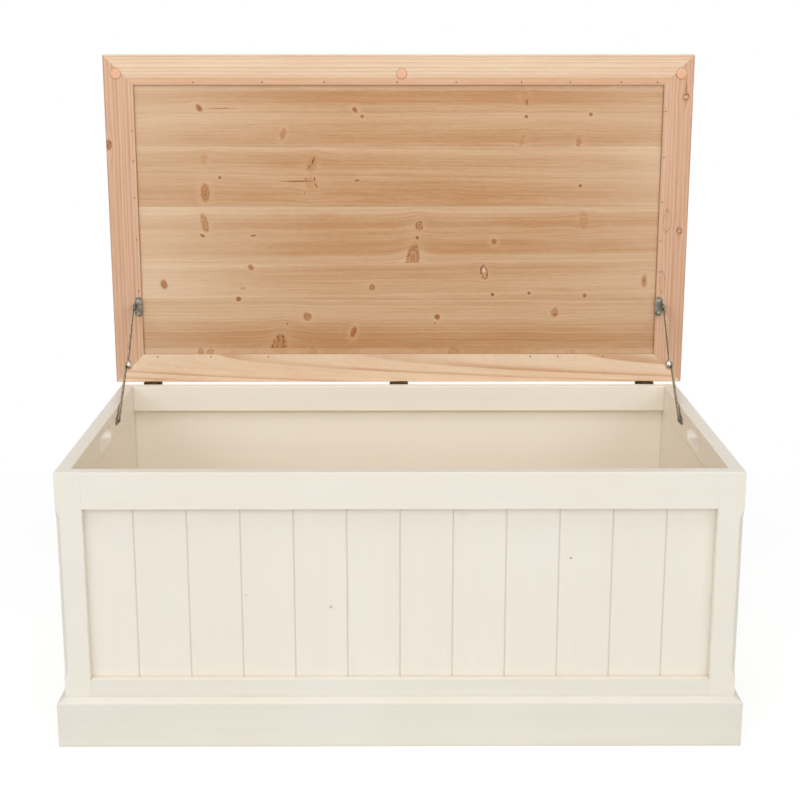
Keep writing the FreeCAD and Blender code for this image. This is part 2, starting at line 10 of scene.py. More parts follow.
import bpy
import numpy as np
from mathutils import Color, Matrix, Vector


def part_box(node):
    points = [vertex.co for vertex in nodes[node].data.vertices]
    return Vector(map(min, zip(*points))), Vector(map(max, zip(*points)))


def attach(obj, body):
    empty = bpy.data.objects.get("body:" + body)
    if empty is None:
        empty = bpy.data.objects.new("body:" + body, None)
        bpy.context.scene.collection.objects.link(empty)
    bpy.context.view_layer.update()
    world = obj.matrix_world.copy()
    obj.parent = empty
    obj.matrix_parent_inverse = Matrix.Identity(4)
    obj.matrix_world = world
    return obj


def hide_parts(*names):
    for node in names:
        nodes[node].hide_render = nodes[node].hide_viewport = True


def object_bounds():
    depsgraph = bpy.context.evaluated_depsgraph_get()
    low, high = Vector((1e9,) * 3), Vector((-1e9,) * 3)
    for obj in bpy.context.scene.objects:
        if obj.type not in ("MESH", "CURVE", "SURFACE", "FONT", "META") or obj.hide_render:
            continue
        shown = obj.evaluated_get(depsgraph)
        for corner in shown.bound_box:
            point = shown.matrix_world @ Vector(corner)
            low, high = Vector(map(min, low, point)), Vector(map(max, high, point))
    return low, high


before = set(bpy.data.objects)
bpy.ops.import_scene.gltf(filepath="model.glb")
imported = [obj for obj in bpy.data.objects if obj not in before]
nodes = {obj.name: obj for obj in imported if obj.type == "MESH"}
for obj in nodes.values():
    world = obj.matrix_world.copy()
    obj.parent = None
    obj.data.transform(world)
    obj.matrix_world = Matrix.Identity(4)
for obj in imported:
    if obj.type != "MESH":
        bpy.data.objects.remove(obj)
cad_low, cad_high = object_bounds()
scene = bpy.context.scene
MM = 0.001
print("pieces:", len(nodes), "box in metres:", [round(side, 4) for side in cad_high - cad_low])

# %% [markdown]
# ## The camera
# The picture that we follow was taken from a little above the rim, straight in front. A long lens keeps the
# uprights nearly parallel. The place, the tilt and the lens were worked out from the chest's own edges, so
# the render lines up with the picture.

# %% Camera
IMAGE_PIXELS = 800
SENSOR_WIDTH = 36.0
FOCAL_LENGTH = 67.46
CAMERA_PLACE = Vector((-0.0082, -2.3647, 1.0338))
CAMERA_TILT = math.radians(76.41)
CAMERA_TURN = -0.0039


def new_object(name, data):
    """A lens, a mesh or a lamp made into an object of the scene."""
    made = bpy.data.objects.new(name, data)
    scene.collection.objects.link(made)
    return made


camera_lens = bpy.data.cameras.new("camera")
camera_lens.sensor_width = SENSOR_WIDTH
camera_lens.lens = FOCAL_LENGTH
camera = new_object("camera", camera_lens)
camera.location = CAMERA_PLACE
camera.rotation_euler = (CAMERA_TILT, 0.0, CAMERA_TURN)
scene.camera = camera
scene.view_settings.view_transform = "Standard"
print("camera at", tuple(CAMERA_PLACE), "lens", FOCAL_LENGTH)

# %% [markdown]
# Knots and small marks are easiest to place where the eye sees them, in pixels. A pixel is only a direction,
# though. It becomes a place on the chest where its line of sight meets the upright plane of a board's face.

# %% From a pixel to a board
LID_CORNER_PIXEL = (101.4, 55.5)


def seen_on(pixel, plane_y):
    """Where the line of sight through a pixel meets the plane y = plane_y.

    Sideways and upwards the line leans by the pixel's distance from the picture's middle over the focal
    length in pixels. The camera's own turn carries that lean into the room, and the line runs until it has
    covered the depth.
    """
    focal_pixels = FOCAL_LENGTH / SENSOR_WIDTH * IMAGE_PIXELS
    right = (pixel[0] - IMAGE_PIXELS / 2) / focal_pixels
    up = (IMAGE_PIXELS / 2 - pixel[1]) / focal_pixels
    sight = camera.rotation_euler.to_matrix() @ Vector((right, up, -1.0))
    return CAMERA_PLACE + sight * ((plane_y - CAMERA_PLACE.y) / sight.y)


stile_low, stile_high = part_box("lid_left_stile")
print("lid's upper left corner seen at", seen_on(LID_CORNER_PIXEL, stile_low.y).to_tuple(3))
print("and built at", (round(stile_low.x, 3), round(stile_low.y, 3), round(stile_high.z, 3)))

# %% [markdown]
# ## Writing node trees
# A finish is a graph of nodes, and written out in full each node takes four or five lines. Two small classes
# keep it readable. A value is a node's output that can be added and multiplied like a number: each sign
# becomes a Math node. A graph has one method for each kind of node that we need.

# %% Values
class Value:
    """A node's output in a graph, with the signs of arithmetic."""

    def __init__(self, graph, socket):
        self.graph = graph
        self.socket = socket

    def __add__(self, other):
        return self.graph.math("ADD", self, other)

    def __sub__(self, other):
        return self.graph.math("SUBTRACT", self, other)

    def __mul__(self, other):
        return self.graph.math("MULTIPLY", self, other)

    def __truediv__(self, other):
        return self.graph.math("DIVIDE", self, other)

    def between(self, low, high):
        """0 below low, 1 above high, with an eased step between; low may be the larger."""
        return self.graph.value("ShaderNodeMapRange", self, low, high, 0.0, 1.0,
                                interpolation_type="SMOOTHSTEP")


print("signs ready")

# %% [markdown]
# The graph's methods take numbers and values alike: a number is written on a socket, a value is linked to it.

# %% Graphs
COLOUR_MIX_INPUTS, COLOUR_MIX_RESULT = (0, 6, 7), 2
VECTOR_MEASURES = ("LENGTH", "DISTANCE", "DOT_PRODUCT")


class Graph:
    """Short ways to add the nodes that this chest's finishes use to one node tree."""

    def __init__(self, tree):
        self.tree = tree

    def add(self, kind, *values, **settings):
        """A node with its settings, and with values for its sockets in their order."""
        node = self.tree.nodes.new(kind)
        for name, setting in settings.items():
            setattr(node, name, setting)
        for socket, value in zip(node.inputs, values):
            self.feed(socket, value)
        return node

    def feed(self, socket, value):
        if isinstance(value, Value):
            self.tree.links.new(value.socket, socket)
        else:
            socket.default_value = value

    def feed_named(self, node, **values):
        for name, value in values.items():
            self.feed(node.inputs[name], value)
        return node

    def value(self, kind, *values, output=0, **settings):
        """An output of a new node."""
        return Value(self, self.add(kind, *values, **settings).outputs[output])

    def math(self, operation, *values, clamp=False):
        return self.value("ShaderNodeMath", *values, operation=operation, use_clamp=clamp)

    def vectors(self, operation, *values):
        output = "Value" if operation in VECTOR_MEASURES else "Vector"
        return self.value("ShaderNodeVectorMath", *values, output=output, operation=operation)

    def split(self, vector):
        node = self.add("ShaderNodeSeparateXYZ", vector)
        return [Value(self, socket) for socket in node.outputs]

    def join(self, x, y, z):
        return self.value("ShaderNodeCombineXYZ", x, y, z)

    def noise(self, place, scale, detail=2.0, roughness=0.5, line=False, output=0):
        """Cloudy values between 0 and 1 about 1 / scale metres across, or stripes along a single number."""
        node = self.add("ShaderNodeTexNoise", noise_dimensions="1D" if line else "3D")
        self.feed(node.inputs["W" if line else "Vector"], place)
        self.feed_named(node, Scale=scale, Detail=detail, Roughness=roughness)
        return Value(self, node.outputs[output])

    def mix(self, factor, first, second):
        """A colour from first to second."""
        node = self.add("ShaderNodeMix", data_type="RGBA")
        for index, value in zip(COLOUR_MIX_INPUTS, (factor, first, second)):
            self.feed(node.inputs[index], value)
        return Value(self, node.outputs[COLOUR_MIX_RESULT])

    def profile(self, place, stops):
        """A number that follows given stops of place and value."""
        node = self.add("ShaderNodeValToRGB", place)
        ramp = node.color_ramp
        ramp.interpolation = "EASE"
        while len(ramp.elements) < len(stops):
            ramp.elements.new(1.0)
        for element, (position, value) in zip(ramp.elements, stops):
            element.position = position
            element.color = (value, value, value, 1.0)
        return Value(self, node.outputs[0])

    def use(self, group, **values):
        """The outputs of one use of a node group, by name."""
        node = self.feed_named(self.add("ShaderNodeGroup", node_tree=group), **values)
        return {socket.name: Value(self, socket) for socket in node.outputs}


print("graph methods:", sum(callable(method) for method in vars(Graph).values()))

# %% [markdown]
# A finish starts from an empty node group, which several materials can share, or from a new material whose
# Principled shader waits for a colour, a roughness and a bump. Colours are written as they look on screen and
# made linear once, here.

# %% Groups, materials and colours
WHITE = (1.0, 1.0, 1.0, 1.0)


def new_group(name, inputs, outputs):
    """A shader node group with sockets by kind: the group, its graph, its given values, its result node."""
    group = bpy.data.node_groups.new(name, "ShaderNodeTree")
    for direction, sockets in (("INPUT", inputs), ("OUTPUT", outputs)):
        for kind, labels in sockets.items():
            for label in labels.split():
                group.interface.new_socket(name=label, in_out=direction, socket_type="NodeSocket" + kind)
    graph = Graph(group)
    given = [Value(graph, socket) for socket in graph.add("NodeGroupInput").outputs if socket.name]
    return group, graph, given, graph.add("NodeGroupOutput")


def new_material(name):
    """A material with its graph, its Principled shader and the place on the piece in Object coordinates."""
    material = bpy.data.materials.new(name)
    material.use_nodes = True
    graph = Graph(material.node_tree)
    place = graph.value("ShaderNodeTexCoord", output="Object")
    return material, graph, material.node_tree.nodes["Principled BSDF"], place


def dress(graph, shader, tint, roughness, height, depth, normal=None):
    """Feeds a shader its colour, its roughness and a bump of that depth, which may start from a normal."""
    bump = graph.feed_named(graph.add("ShaderNodeBump"), Distance=depth, Height=height)
    if normal is not None:
        graph.feed(bump.inputs["Normal"], normal)
    graph.feed(shader.inputs["Base Color"], tint)
    graph.feed_named(shader, Roughness=roughness, Normal=Value(graph, bump.outputs[0]))


def colour(red, green, blue):
    """A colour as picked on screen, 0 to 255, made linear for the renderer."""
    return (*Color((red / 255, green / 255, blue / 255)).from_srgb_to_scene_linear(), 1.0)


print("middle grey on screen is", round(colour(128, 128, 128)[0], 3), "in linear light")

# %% [markdown]
# ## Edges and corners
# No made edge is perfectly sharp. Modelling a small round on each of a hundred edges would be heavy. The
# Bevel node bends the normal near an edge as such a round would, and how far it bends it tells where the
# edges are.
# Ambient Occlusion tells where the corners are, and the finishes paint shade into those corners.

# %% Edge and corner group
EDGE_ROUND = 0.9 * MM
# How far from an inner corner the painted shade reaches.
CORNER_SHADE_REACH = 5.0 * MM
FLAT_TO_EDGE = (0.999, 0.9)
OPEN_TO_CORNER = (0.95, 0.35)
edge_group, graph, given, result = new_group(
    "edges_and_corners", dict(Float="radius reach"), dict(Vector="normal", Float="edge corner"))
radius, reach = given
rounded = graph.value("ShaderNodeBevel", radius, samples=4)
likeness = graph.vectors("DOT_PRODUCT", rounded, graph.value("ShaderNodeNewGeometry", output="Normal"))
openness = graph.value("ShaderNodeAmbientOcclusion", WHITE, reach, output="AO", samples=6)
graph.feed_named(result, normal=rounded, edge=likeness.between(*FLAT_TO_EDGE),
                 corner=openness.between(*OPEN_TO_CORNER))
print("made group", edge_group.name)

# %% [markdown]
# ## Cream paint
# The body is sprayed or brushed with a satin cream. From a step away it is one colour; closer, it drifts a
# little, fine strokes run along each board, and the sheen varies. The strokes are noise that is stretched
# along one axis, so a board needs only to say which way it runs.

# %% Brushed paint group
STROKE_WIDTH = 1.6 * MM
STREAK_WIDTH = 14.0 * MM
CLOUD_WIDTH = 180.0 * MM
STREAK_SHARE, CLOUD_SHARE = 0.45, 0.55
DRIFT_RANGE = (0.3, 0.7)
SATIN, SATIN_SWING = 0.34, 0.16
paint_group, graph, given, result = new_group(
    "brushed_paint", dict(Vector="place stretch", Color="light deep"),
    dict(Color="tint", Float="roughness height"))
place, stretch, light, deep = given
along_strokes = graph.vectors("MULTIPLY", place, stretch)
stroke = graph.noise(along_strokes, 1 / STROKE_WIDTH, detail=3.0)
streak = graph.noise(along_strokes, 1 / STREAK_WIDTH)
drift = streak * STREAK_SHARE + graph.noise(place, 1 / CLOUD_WIDTH, detail=3.0) * CLOUD_SHARE
graph.feed_named(result, tint=graph.mix(drift.between(*DRIFT_RANGE), light, deep),
                 roughness=streak * SATIN_SWING + SATIN, height=stroke + streak)
print("made group", paint_group.name)

# %% [markdown]
# A paint material joins the two groups. Painted shade darkens and yellows the paint a little in the corners,
# a painted highlight makes the rounded edges a touch lighter, and the bump starts from the bevelled normal so
# that both show. A rail can also show the hair lines where its ends meet the stiles.

# %% A cream paint material
PAINT_TONES = (colour(246, 240, 228), colour(244, 237, 223))
# The colour of the painted shade in the corners.
PAINT_CORNER_SHADE = colour(196, 180, 146)
# A painted highlight along the rounded edges, and how much of it shows.
PAINT_EDGE_HIGHLIGHT, HIGHLIGHT_SHOW = colour(250, 246, 238), 0.5
JOINT_COLOUR, JOINT_SHOW = colour(206, 196, 172), 0.7
JOINT_WIDTH = 1.5 * MM
PAINT_RELIEF = 0.03 * MM
SPOT_HEART = 1 / 3


def cream_paint(name, stretch, marks=(), tones=PAINT_TONES, corner=0.45, half_length=None):
    """Satin cream paint whose strokes run along the axis with the small stretch.

    Marks are centre, radius and colour, corner is how much painted shade darkens the corners, and half_length
    is where the ends of a rail meet the stiles, if that joint shows as a hair line.
    """
    material, graph, shader, place = new_material(name)
    edges = graph.use(edge_group, radius=EDGE_ROUND, reach=CORNER_SHADE_REACH)
    paint = graph.use(paint_group, place=place, stretch=stretch, light=tones[0], deep=tones[1])
    # Painted highlight: the rounded edges go a touch lighter.
    tint = graph.mix(edges["edge"] * HIGHLIGHT_SHOW, paint["tint"], PAINT_EDGE_HIGHLIGHT)
    # Painted shade: the inner corners go darker and yellower.
    tint = graph.mix(edges["corner"] * corner, tint, PAINT_CORNER_SHADE)
    if half_length:
        joint = graph.math("ABSOLUTE", graph.split(place)[0]).between(half_length - JOINT_WIDTH, half_length)
        tint = graph.mix(joint * JOINT_SHOW, tint, JOINT_COLOUR)
    for centre, radius, mark_colour in marks:
        away = graph.vectors("DISTANCE", place, centre)
        tint = graph.mix(away.between(radius, radius * SPOT_HEART), tint, mark_colour)
    dress(graph, shader, tint, paint["roughness"], paint["height"], PAINT_RELIEF, edges["normal"])
    return material


print("cream paint ready")

# %% [markdown]
# The same paint is given in a few copies: a shade darker on the low rails and the plinth, as painted shade,
# and a little lighter inside the box, as painted light. Three filled nail holes show on the front boards.

# %% Cream paint, piece by piece
STROKE_STRETCH = 0.035
UPRIGHT = (1.0, 1.0, STROKE_STRETCH)
LENGTHWISE = (STROKE_STRETCH, 1.0, 1.0)
INWARD = (1.0, STROKE_STRETCH, 1.0)
ROUND_THE_FOOT = (STROKE_STRETCH, STROKE_STRETCH, 1.0)
# Lit and shaded copies of the paint: painted shade on the low rails and the plinth, painted light inside.
LOW_SHADE_TONES = (colour(241, 236, 224), colour(238, 232, 219))
PLINTH_SHADE_TONES = (colour(239, 234, 222), colour(235, 229, 215))
INSIDE_LIT_TONES = (colour(250, 245, 233), colour(248, 242, 229))
NAIL_MARKS = (((331, 607), 3.4 * MM, colour(206, 199, 184)), ((571, 558), 2.6 * MM, colour(176, 168, 150)),
              ((246, 595), 2.2 * MM, colour(222, 214, 200)))
SIGNS = {"left": -1.0, "right": 1.0}


def finish_with(material, *names):
    """Gives CAD pieces one material in place of the plain one they came with."""
    for name in names:
        mesh = nodes[name].data
        mesh.materials.clear()
        mesh.materials.append(material)


board_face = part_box("front_boards")[0].y
marks = [(seen_on(pixel, board_face), radius, tone) for pixel, radius, tone in NAIL_MARKS]
rail_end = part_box("front_top_rail")[1].x
upright_paint = cream_paint("cream_paint_upright", UPRIGHT)
side_paint = cream_paint("cream_paint_side_rails", INWARD, corner=0.2)
plinth_paint = cream_paint("cream_paint_plinth_shaded", ROUND_THE_FOOT, tones=PLINTH_SHADE_TONES)
finish_with(cream_paint("cream_paint_boards", UPRIGHT, marks), "front_boards")
finish_with(cream_paint("cream_paint_top_rail", LENGTHWISE, half_length=rail_end), "front_top_rail")
finish_with(cream_paint("cream_paint_low_rail_shaded", LENGTHWISE, tones=LOW_SHADE_TONES, half_length=rail_end),
            "front_bottom_rail", "back_bottom_rail")
finish_with(cream_paint("cream_paint_inside_lit", LENGTHWISE, tones=INSIDE_LIT_TONES), "back_top_rail", "back_panel")
finish_with(plinth_paint, "plinth_front")
for side in SIGNS:
    finish_with(upright_paint, side + "_boards", "front_%s_stile" % side, "back_%s_stile" % side,
                side + "_front_stile", side + "_rear_stile")
    finish_with(side_paint, side + "_top_rail", side + "_bottom_rail")
    finish_with(plinth_paint, "plinth_" + side)
print("painted pieces:", sum(node.data.materials[0].name.startswith("cream") for node in nodes.values()))

# %% [markdown]
# ## Pine: knots
# A knot is a branch that the board was sawn through. Seen on the face it is an oval of redder wood with its
# own rings, often with a thin broken outline, sometimes with a dark heart, and the grain flows round it.
# Painting ovals would leave the grain straight behind them, so each knot does two things: it adds its own
# masks, and it pushes the number that says which growth ring we are on. One group does this for one knot, and
# a board chains as many as it has. Cracks are very thin knots.

# %% Knot group: the oval and its masks
FLAKE_SIZE = 5.0 * MM
MOTTLE_LEAST, MOTTLE_SWING = 0.5, 0.7
BRANCH_RINGS, RING_WARP, RING_DEPTH = 14.0, 7.0, 0.26
CORE_FADE = (1.3, 0.65)
RIM_INSIDE, RIM_OUTSIDE, RIM_GAPS = (0.68, 0.94), (1.2, 0.97), (0.36, 0.6)
HEART_FADE = (0.85, 0.2)
HALO_FADE = (3.0, 1.0)
knot_group, graph, given, result = new_group(
    "knot", dict(Float="along across lean core rim heart grain red dark halo", Vector="centre half_size"),
    dict(Float="grain red dark halo"))
along, across, lean, core, rim, heart, grain, red, dark, halo, centre, half_size = given
here = graph.join(along, across, 0.0)
offset = graph.vectors("SUBTRACT", here, centre)
u, v = graph.split(graph.vectors("DIVIDE", offset, half_size))[:2]
u = u - v * lean
reach = graph.math("SQRT", u * u + v * v)
flake = graph.noise(here, 1 / FLAKE_SIZE)
mottle = flake * MOTTLE_SWING + MOTTLE_LEAST
mottle = mottle + graph.math("SINE", reach * BRANCH_RINGS + flake * RING_WARP) * RING_DEPTH
oval = graph.math("MULTIPLY", reach.between(*CORE_FADE), mottle, clamp=True)
outline = reach.between(*RIM_INSIDE) * reach.between(*RIM_OUTSIDE) * flake.between(*RIM_GAPS)
darkest = graph.math("MAXIMUM", outline * rim, reach.between(*HEART_FADE) * heart)
graph.feed_named(result, red=graph.math("MAXIMUM", red, oval * core),
                 dark=graph.math("MAXIMUM", dark, darkest),
                 halo=graph.math("MAXIMUM", halo, reach.between(*HALO_FADE) * core))
print("made the masks of group", knot_group.name)

# %% [markdown]
# The grain on either side of a knot moves away from it, most of all close by, and the push dies out faster
# across the board than along it. Which side we are on is an eased sign, so the two sides join smoothly.

# %% Knot group: the grain's way round
PUSH_SHARE = 0.55
PUSH_FADE_ALONG, PUSH_FADE_ACROSS = -0.16, -0.6
SIDE_EASE = 0.25
fade = graph.math("EXPONENT", u * u * PUSH_FADE_ALONG + graph.math("ABSOLUTE", v) * PUSH_FADE_ACROSS)
eased_sign = v / graph.math("SQRT", v * v + SIDE_EASE)
push = graph.split(half_size)[1] * eased_sign * (fade * PUSH_SHARE)
graph.feed_named(result, grain=grain - push)
print("nodes in group", knot_group.name, len(knot_group.nodes))

# %% [markdown]
# ## Pine: growth rings
# A tree is a stack of cones, and a board is a slice of it. The distance from the tree's axis, measured in all
# three directions, therefore gives the right pattern on every side of a board at once: lines on the face,
# lines on the edge and arcs on the end. We call it age, because the tree grew outwards. Its fraction of a
# ring tells where the thin dark late wood of each year lies.

# %% Pine group: age
WAVE_SCALE = 3.0
UNEVEN_SCALE, UNEVEN_YEARS = 60.0, 1.6
LATE_START, LATE_END = (0.45, 0.9), (1.0, 0.94)
PINE_NUMBERS = ("along grain through pith_across pith_through ring wave seed "
                "lines streak tone red dark halo fade")
pine_group, graph, given, result = new_group(
    "pine", dict(Float=PINE_NUMBERS, Color="early warm late end"),
    dict(Color="tint", Float="roughness height"))
(along, grain, through, pith_across, pith_through, ring, wave, seed,
 lines, streak_share, tone, red, dark, halo, fade, early_tone, warm_tone, late_tone, sheen_tone) = given


def about_middle(value, amount):
    """A 0 to 1 value turned into a swing of that size about zero."""
    return (value - 0.5) * amount


drift = about_middle(graph.noise(along + seed, WAVE_SCALE, line=True), wave)
across = grain - pith_across + drift
behind = through - pith_through
age = graph.math("SQRT", across * across + behind * behind)
seeded_age = age + seed
uneven = graph.noise(seeded_age, UNEVEN_SCALE, detail=1.0, line=True) * UNEVEN_YEARS
year = graph.math("FRACT", age / ring + uneven)
late = year.between(*LATE_START) * year.between(*LATE_END)
print("made the rings of group", pine_group.name)

# %% [markdown]
# Bands of age are mixed from three tones: pale early wood, warm wood and dark late wood. Patches, streaks a
# hand long and finer fibres break the bands up along the board, as real fibres do. Knots come last: faint
# ones are orange, strong ones brown.

# %% Pine group: tones
FIBRE = dict(width=1.3 * MM, stretch=0.1)
STREAK = dict(width=2.4 * MM, stretch=0.03, detail=3.0)
PATCH = dict(width=38.0 * MM, stretch=0.12)
LINE_BREAK = dict(width=11.0 * MM, stretch=0.06)
BAND_WIDTH = 9.0 * MM
BAND_SWING, PATCH_SWING, STREAK_SWING, FIBRE_SWING = 0.9, 0.7, 1.1, 0.9
LINE_GAPS, LINE_LEAST = (0.3, 0.62), 0.4
KNOT_ORANGE, KNOT_RED = colour(202, 134, 76), colour(160, 96, 46)
KNOT_BROWN, KNOT_DARK = colour(148, 86, 40), colour(84, 44, 18)
HALO_SHOW, RED_SHOW, DARK_SHOW = 0.35, 1.2, 1.3
WOOD_ROUGHNESS, LATE_ROUGHNESS, FIBRE_ROUGHNESS = 0.4, 0.06, 0.1
FIBRE_HEIGHT, LATE_HEIGHT, DARK_DENT = 0.6, 0.8, 0.2


def along_grain(width, stretch, detail=2.0):
    """Noise of that width across the grain and 1 / stretch times longer along it."""
    return graph.noise(graph.join(along * stretch, age, seed), 1 / width, detail)


fibre = along_grain(**FIBRE)
fine = about_middle(along_grain(**STREAK), STREAK_SWING) + about_middle(fibre, FIBRE_SWING)
band = graph.noise(seeded_age, 1 / BAND_WIDTH, detail=3.0, roughness=0.6, line=True)
depth = tone + about_middle(band, BAND_SWING)
depth = depth + about_middle(along_grain(**PATCH), PATCH_SWING)
wood = graph.mix(graph.math("ADD", depth, fine * streak_share, clamp=True), early_tone, warm_tone)
unbroken = along_grain(**LINE_BREAK).between(*LINE_GAPS) * (1 - LINE_LEAST) + LINE_LEAST
wood = graph.mix(late * lines * unbroken, wood, late_tone)
# Painted sheen: near its ends the board goes towards a pale tone.
wood = graph.mix(fade, wood, sheen_tone)
wood = graph.mix(halo * HALO_SHOW, wood, early_tone)
branch = graph.mix(red, KNOT_ORANGE, KNOT_RED)
wood = graph.mix(graph.math("MULTIPLY", red, RED_SHOW, clamp=True), wood, branch)
stain = graph.mix(dark, KNOT_BROWN, KNOT_DARK)
wood = graph.mix(graph.math("MULTIPLY", dark, DARK_SHOW, clamp=True), wood, stain)
roughness = late * LATE_ROUGHNESS + WOOD_ROUGHNESS + fibre * FIBRE_ROUGHNESS
graph.feed_named(result, tint=wood, roughness=roughness,
                 height=fibre * FIBRE_HEIGHT + late * LATE_HEIGHT - dark * DARK_DENT)
print("nodes in group", pine_group.name, len(pine_group.nodes))

# %% [markdown]
# Three helpers come before the board's own material. One carries a pixel to a board's face, one shifts places
# by a little noise so that no knot is a perfect oval, and one paints a sheen into a board's colour: a paler
# tone towards its ends.

# %% Helpers for a board
KNOT_WOBBLE, WOBBLE_SCALE = 2.4 * MM, 150.0
# Where the painted sheen starts on a board and how it grows towards the ends.
SHEEN_MIDDLE, SHEEN_START, SHEEN_RUN = 35.0 * MM, 120.0 * MM, 340.0 * MM
SHEEN_CURVE = 1.5


def face_place(pixel, face_y, axis):
    """A pixel carried to a lid board's face: how far along the board, how far across it, and zero."""
    seen = seen_on(pixel, face_y)
    return (seen.x, seen.z, 0.0) if axis == "X" else (seen.z, seen.x, 0.0)


def wobbled(graph, along, across, place):
    """Places along and across the board, each shifted by its own noise."""
    noise = graph.noise(place, WOBBLE_SCALE, output="Color")
    swing = graph.vectors("SUBTRACT", noise, (0.5, 0.5, 0.5))
    shifts = graph.split(graph.vectors("MULTIPLY", swing, (KNOT_WOBBLE,) * 3))
    return along + shifts[0], across + shifts[1]


def painted_end_sheen(graph, along, amounts):
    """How much painted sheen a board gets towards its lower and upper end: a power of the distance from the
    middle.
    """
    fade = 0.0
    for sign, amount in zip((-1.0, 1.0), amounts):
        past = (along - SHEEN_MIDDLE) * sign - SHEEN_START
        near_end = graph.math("POWER", graph.math("DIVIDE", past, SHEEN_RUN, clamp=True), SHEEN_CURVE)
        fade = graph.math("MAXIMUM", fade, near_end * amount)
    return fade


print("board helpers ready")

# %% [markdown]
# Each lid board is one material: which way it runs, where the tree's heart lay, its three tones, a tone
# profile across its width and its knots. The profile is what makes a board recognisable, with a pale sapwood
# edge here and a resinous red stripe there. Sizes are in millimetres, as a joiner would give them. A knot's
# row gives its pixel, half its length and width, its lean, and how strong its core, rim and heart are. A
# plug's row gives its pixel, half its length and width and its colour: a pale or filled spot inside a knot.

# %% A pine board's material
PINE_RELIEF = 0.05 * MM
# How far from an inner corner of the lid the painted shade reaches.
WOOD_CORNER_SHADE_REACH = 2.2 * MM
PLUG_FADE = (1.1, 0.7)
# Brown for the dark seams along the arrises and for the painted shade in the inner corners.
SEAM_AND_SHADE_COLOUR = colour(112, 72, 44)
SEAM_ARRIS = (SEAM_AND_SHADE_COLOUR, 0.2)
# The pale tone of the painted sheen at a board's ends.
PAINTED_SHEEN_TONE = colour(250, 228, 198)
PLANK_TONES = (colour(220, 186, 149), colour(190, 137, 88), colour(168, 110, 68))


def pine(name, axis, knots, profile, pith, seed, ring=5.0, lines=0.17, streak=0.62, tones=PLANK_TONES,
         plugs=(), skew=0.0, taper=0.0, wave=5.0, sheen_shares=(0.0, 0.0), edge=SEAM_ARRIS, corner=0.9):
    """Pine for one board that runs along X or Z, with the tree's heart so far across and behind the face.

    The profile's stops run across the board from its lower or left edge. Skew and taper are how many
    millimetres the grain climbs and the heart comes nearer in a metre, wave is how far it swings, the two
    sheen shares are how much painted sheen pales the board towards either end, edge is the colour of its
    arrises and how much of it shows, and corner is how much painted shade darkens its inner corners.
    """
    material, graph, shader, place = new_material(name)
    low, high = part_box(name)
    x, y, z = graph.split(place)
    along, across = (x, z) if axis == "X" else (z, x)
    low_edge, high_edge = (low.z, high.z) if axis == "X" else (low.x, high.x)
    knot_along, knot_across = wobbled(graph, along, across, place)
    grain = across + along * (skew * MM)
    red, dark, halo = 0.0, 0.0, 0.0
    for right, down, half_length, half_width, lean, core, rim, heart in knots:
        grain, red, dark, halo = graph.use(
            knot_group, along=knot_along, across=knot_across, centre=face_place((right, down), low.y, axis),
            half_size=(half_length * MM, half_width * MM, 1.0), lean=lean, core=core, rim=rim, heart=heart,
            grain=grain, red=red, dark=dark, halo=halo).values()
    share = (grain - low_edge) / (high_edge - low_edge)
    wood = graph.use(
        pine_group, along=along, grain=grain, through=y + along * (taper * MM),
        pith_across=low_edge + pith[0] * MM, pith_through=low.y + pith[1] * MM, ring=ring * MM, lines=lines,
        streak=streak, wave=wave * MM, seed=seed, tone=graph.profile(share, profile), red=red, dark=dark,
        halo=halo, fade=painted_end_sheen(graph, along, sheen_shares), early=tones[0], warm=tones[1], late=tones[2],
        end=PAINTED_SHEEN_TONE)
    tint = wood["tint"]
    here = graph.join(knot_along, knot_across, 0.0)
    for right, down, half_length, half_width, plug_colour in plugs:
        offset = graph.vectors("SUBTRACT", here, face_place((right, down), low.y, axis))
        offset = graph.vectors("DIVIDE", offset, (half_length * MM, half_width * MM, 1.0))
        tint = graph.mix(graph.vectors("LENGTH", offset).between(*PLUG_FADE), tint, plug_colour)
    edges = graph.use(edge_group, radius=EDGE_ROUND, reach=WOOD_CORNER_SHADE_REACH)
    # The arrises take the edge colour: dark seams on the planks, a painted highlight on the stiles, a darker
    # line on the rails.
    tint = graph.mix(edges["edge"] * edge[1], tint, edge[0])
    # Painted shade: the inner corners go towards the seam brown.
    tint = graph.mix(edges["corner"] * corner, tint, SEAM_AND_SHADE_COLOUR)
    dress(graph, shader, tint, wood["roughness"], wood["height"], PINE_RELIEF, edges["normal"])
    finish_with(material, name)
    print(name, "has", len(knots), "knots")


print("pine board material ready")

# %% [markdown]
# ## The lid's planks
# Seven staves are glued edge to edge. Their knots were read from the picture one by one, and so was the tone
# profile of each stave, from its lower edge to its upper.

# %% Planks of the lid
pine("lid_plank_1", "X", knots=[], seed=11.3, pith=(30, 60), corner=0.5, sheen_shares=(0.3, 0.2),
     profile=[(0, 0.35), (0.5, 0.25), (1, 0.4)])
pine("lid_plank_2", "X", seed=23.7, pith=(-90, 70), taper=5.0, sheen_shares=(0.26, 0.18),
     profile=[(0, 0.68), (0.12, 0.76), (0.26, 0.68), (0.4, 0.46), (0.55, 0.45), (0.69, 0.57), (0.83, 0.8),
              (1, 0.78)],
     knots=[(199, 108, 5.5, 7, -0.5, 0.85, 0, 0.4), (283, 134, 5, 10, 0.45, 0.6, 0.15, 0),
            (354.8, 110, 4.6, 5.2, -0.3, 0.9, 0, 0.4), (362.2, 116.5, 3.4, 3.4, 0, 0.9, 0, 0.25),
            (525.5, 98, 6.5, 14, -0.5, 0.36, 0, 0), (527, 102, 1.6, 6, -0.6, 1, 0, 0.95),
            (526.5, 116.5, 3.2, 3.2, 0, 1, 0, 0.55), (522, 141, 4, 12, 0.7, 0.4, 0, 0),
            (590.8, 114.4, 3.6, 3.5, 0, 1, 0, 0.4), (579, 141, 5.5, 11, 0.2, 0.4, 0, 0),
            (578.5, 143, 2.6, 5, 0.2, 0.4, 0.9, 0), (222, 108.4, 30, 1.1, 0, 0.6, 0, 0.35)])
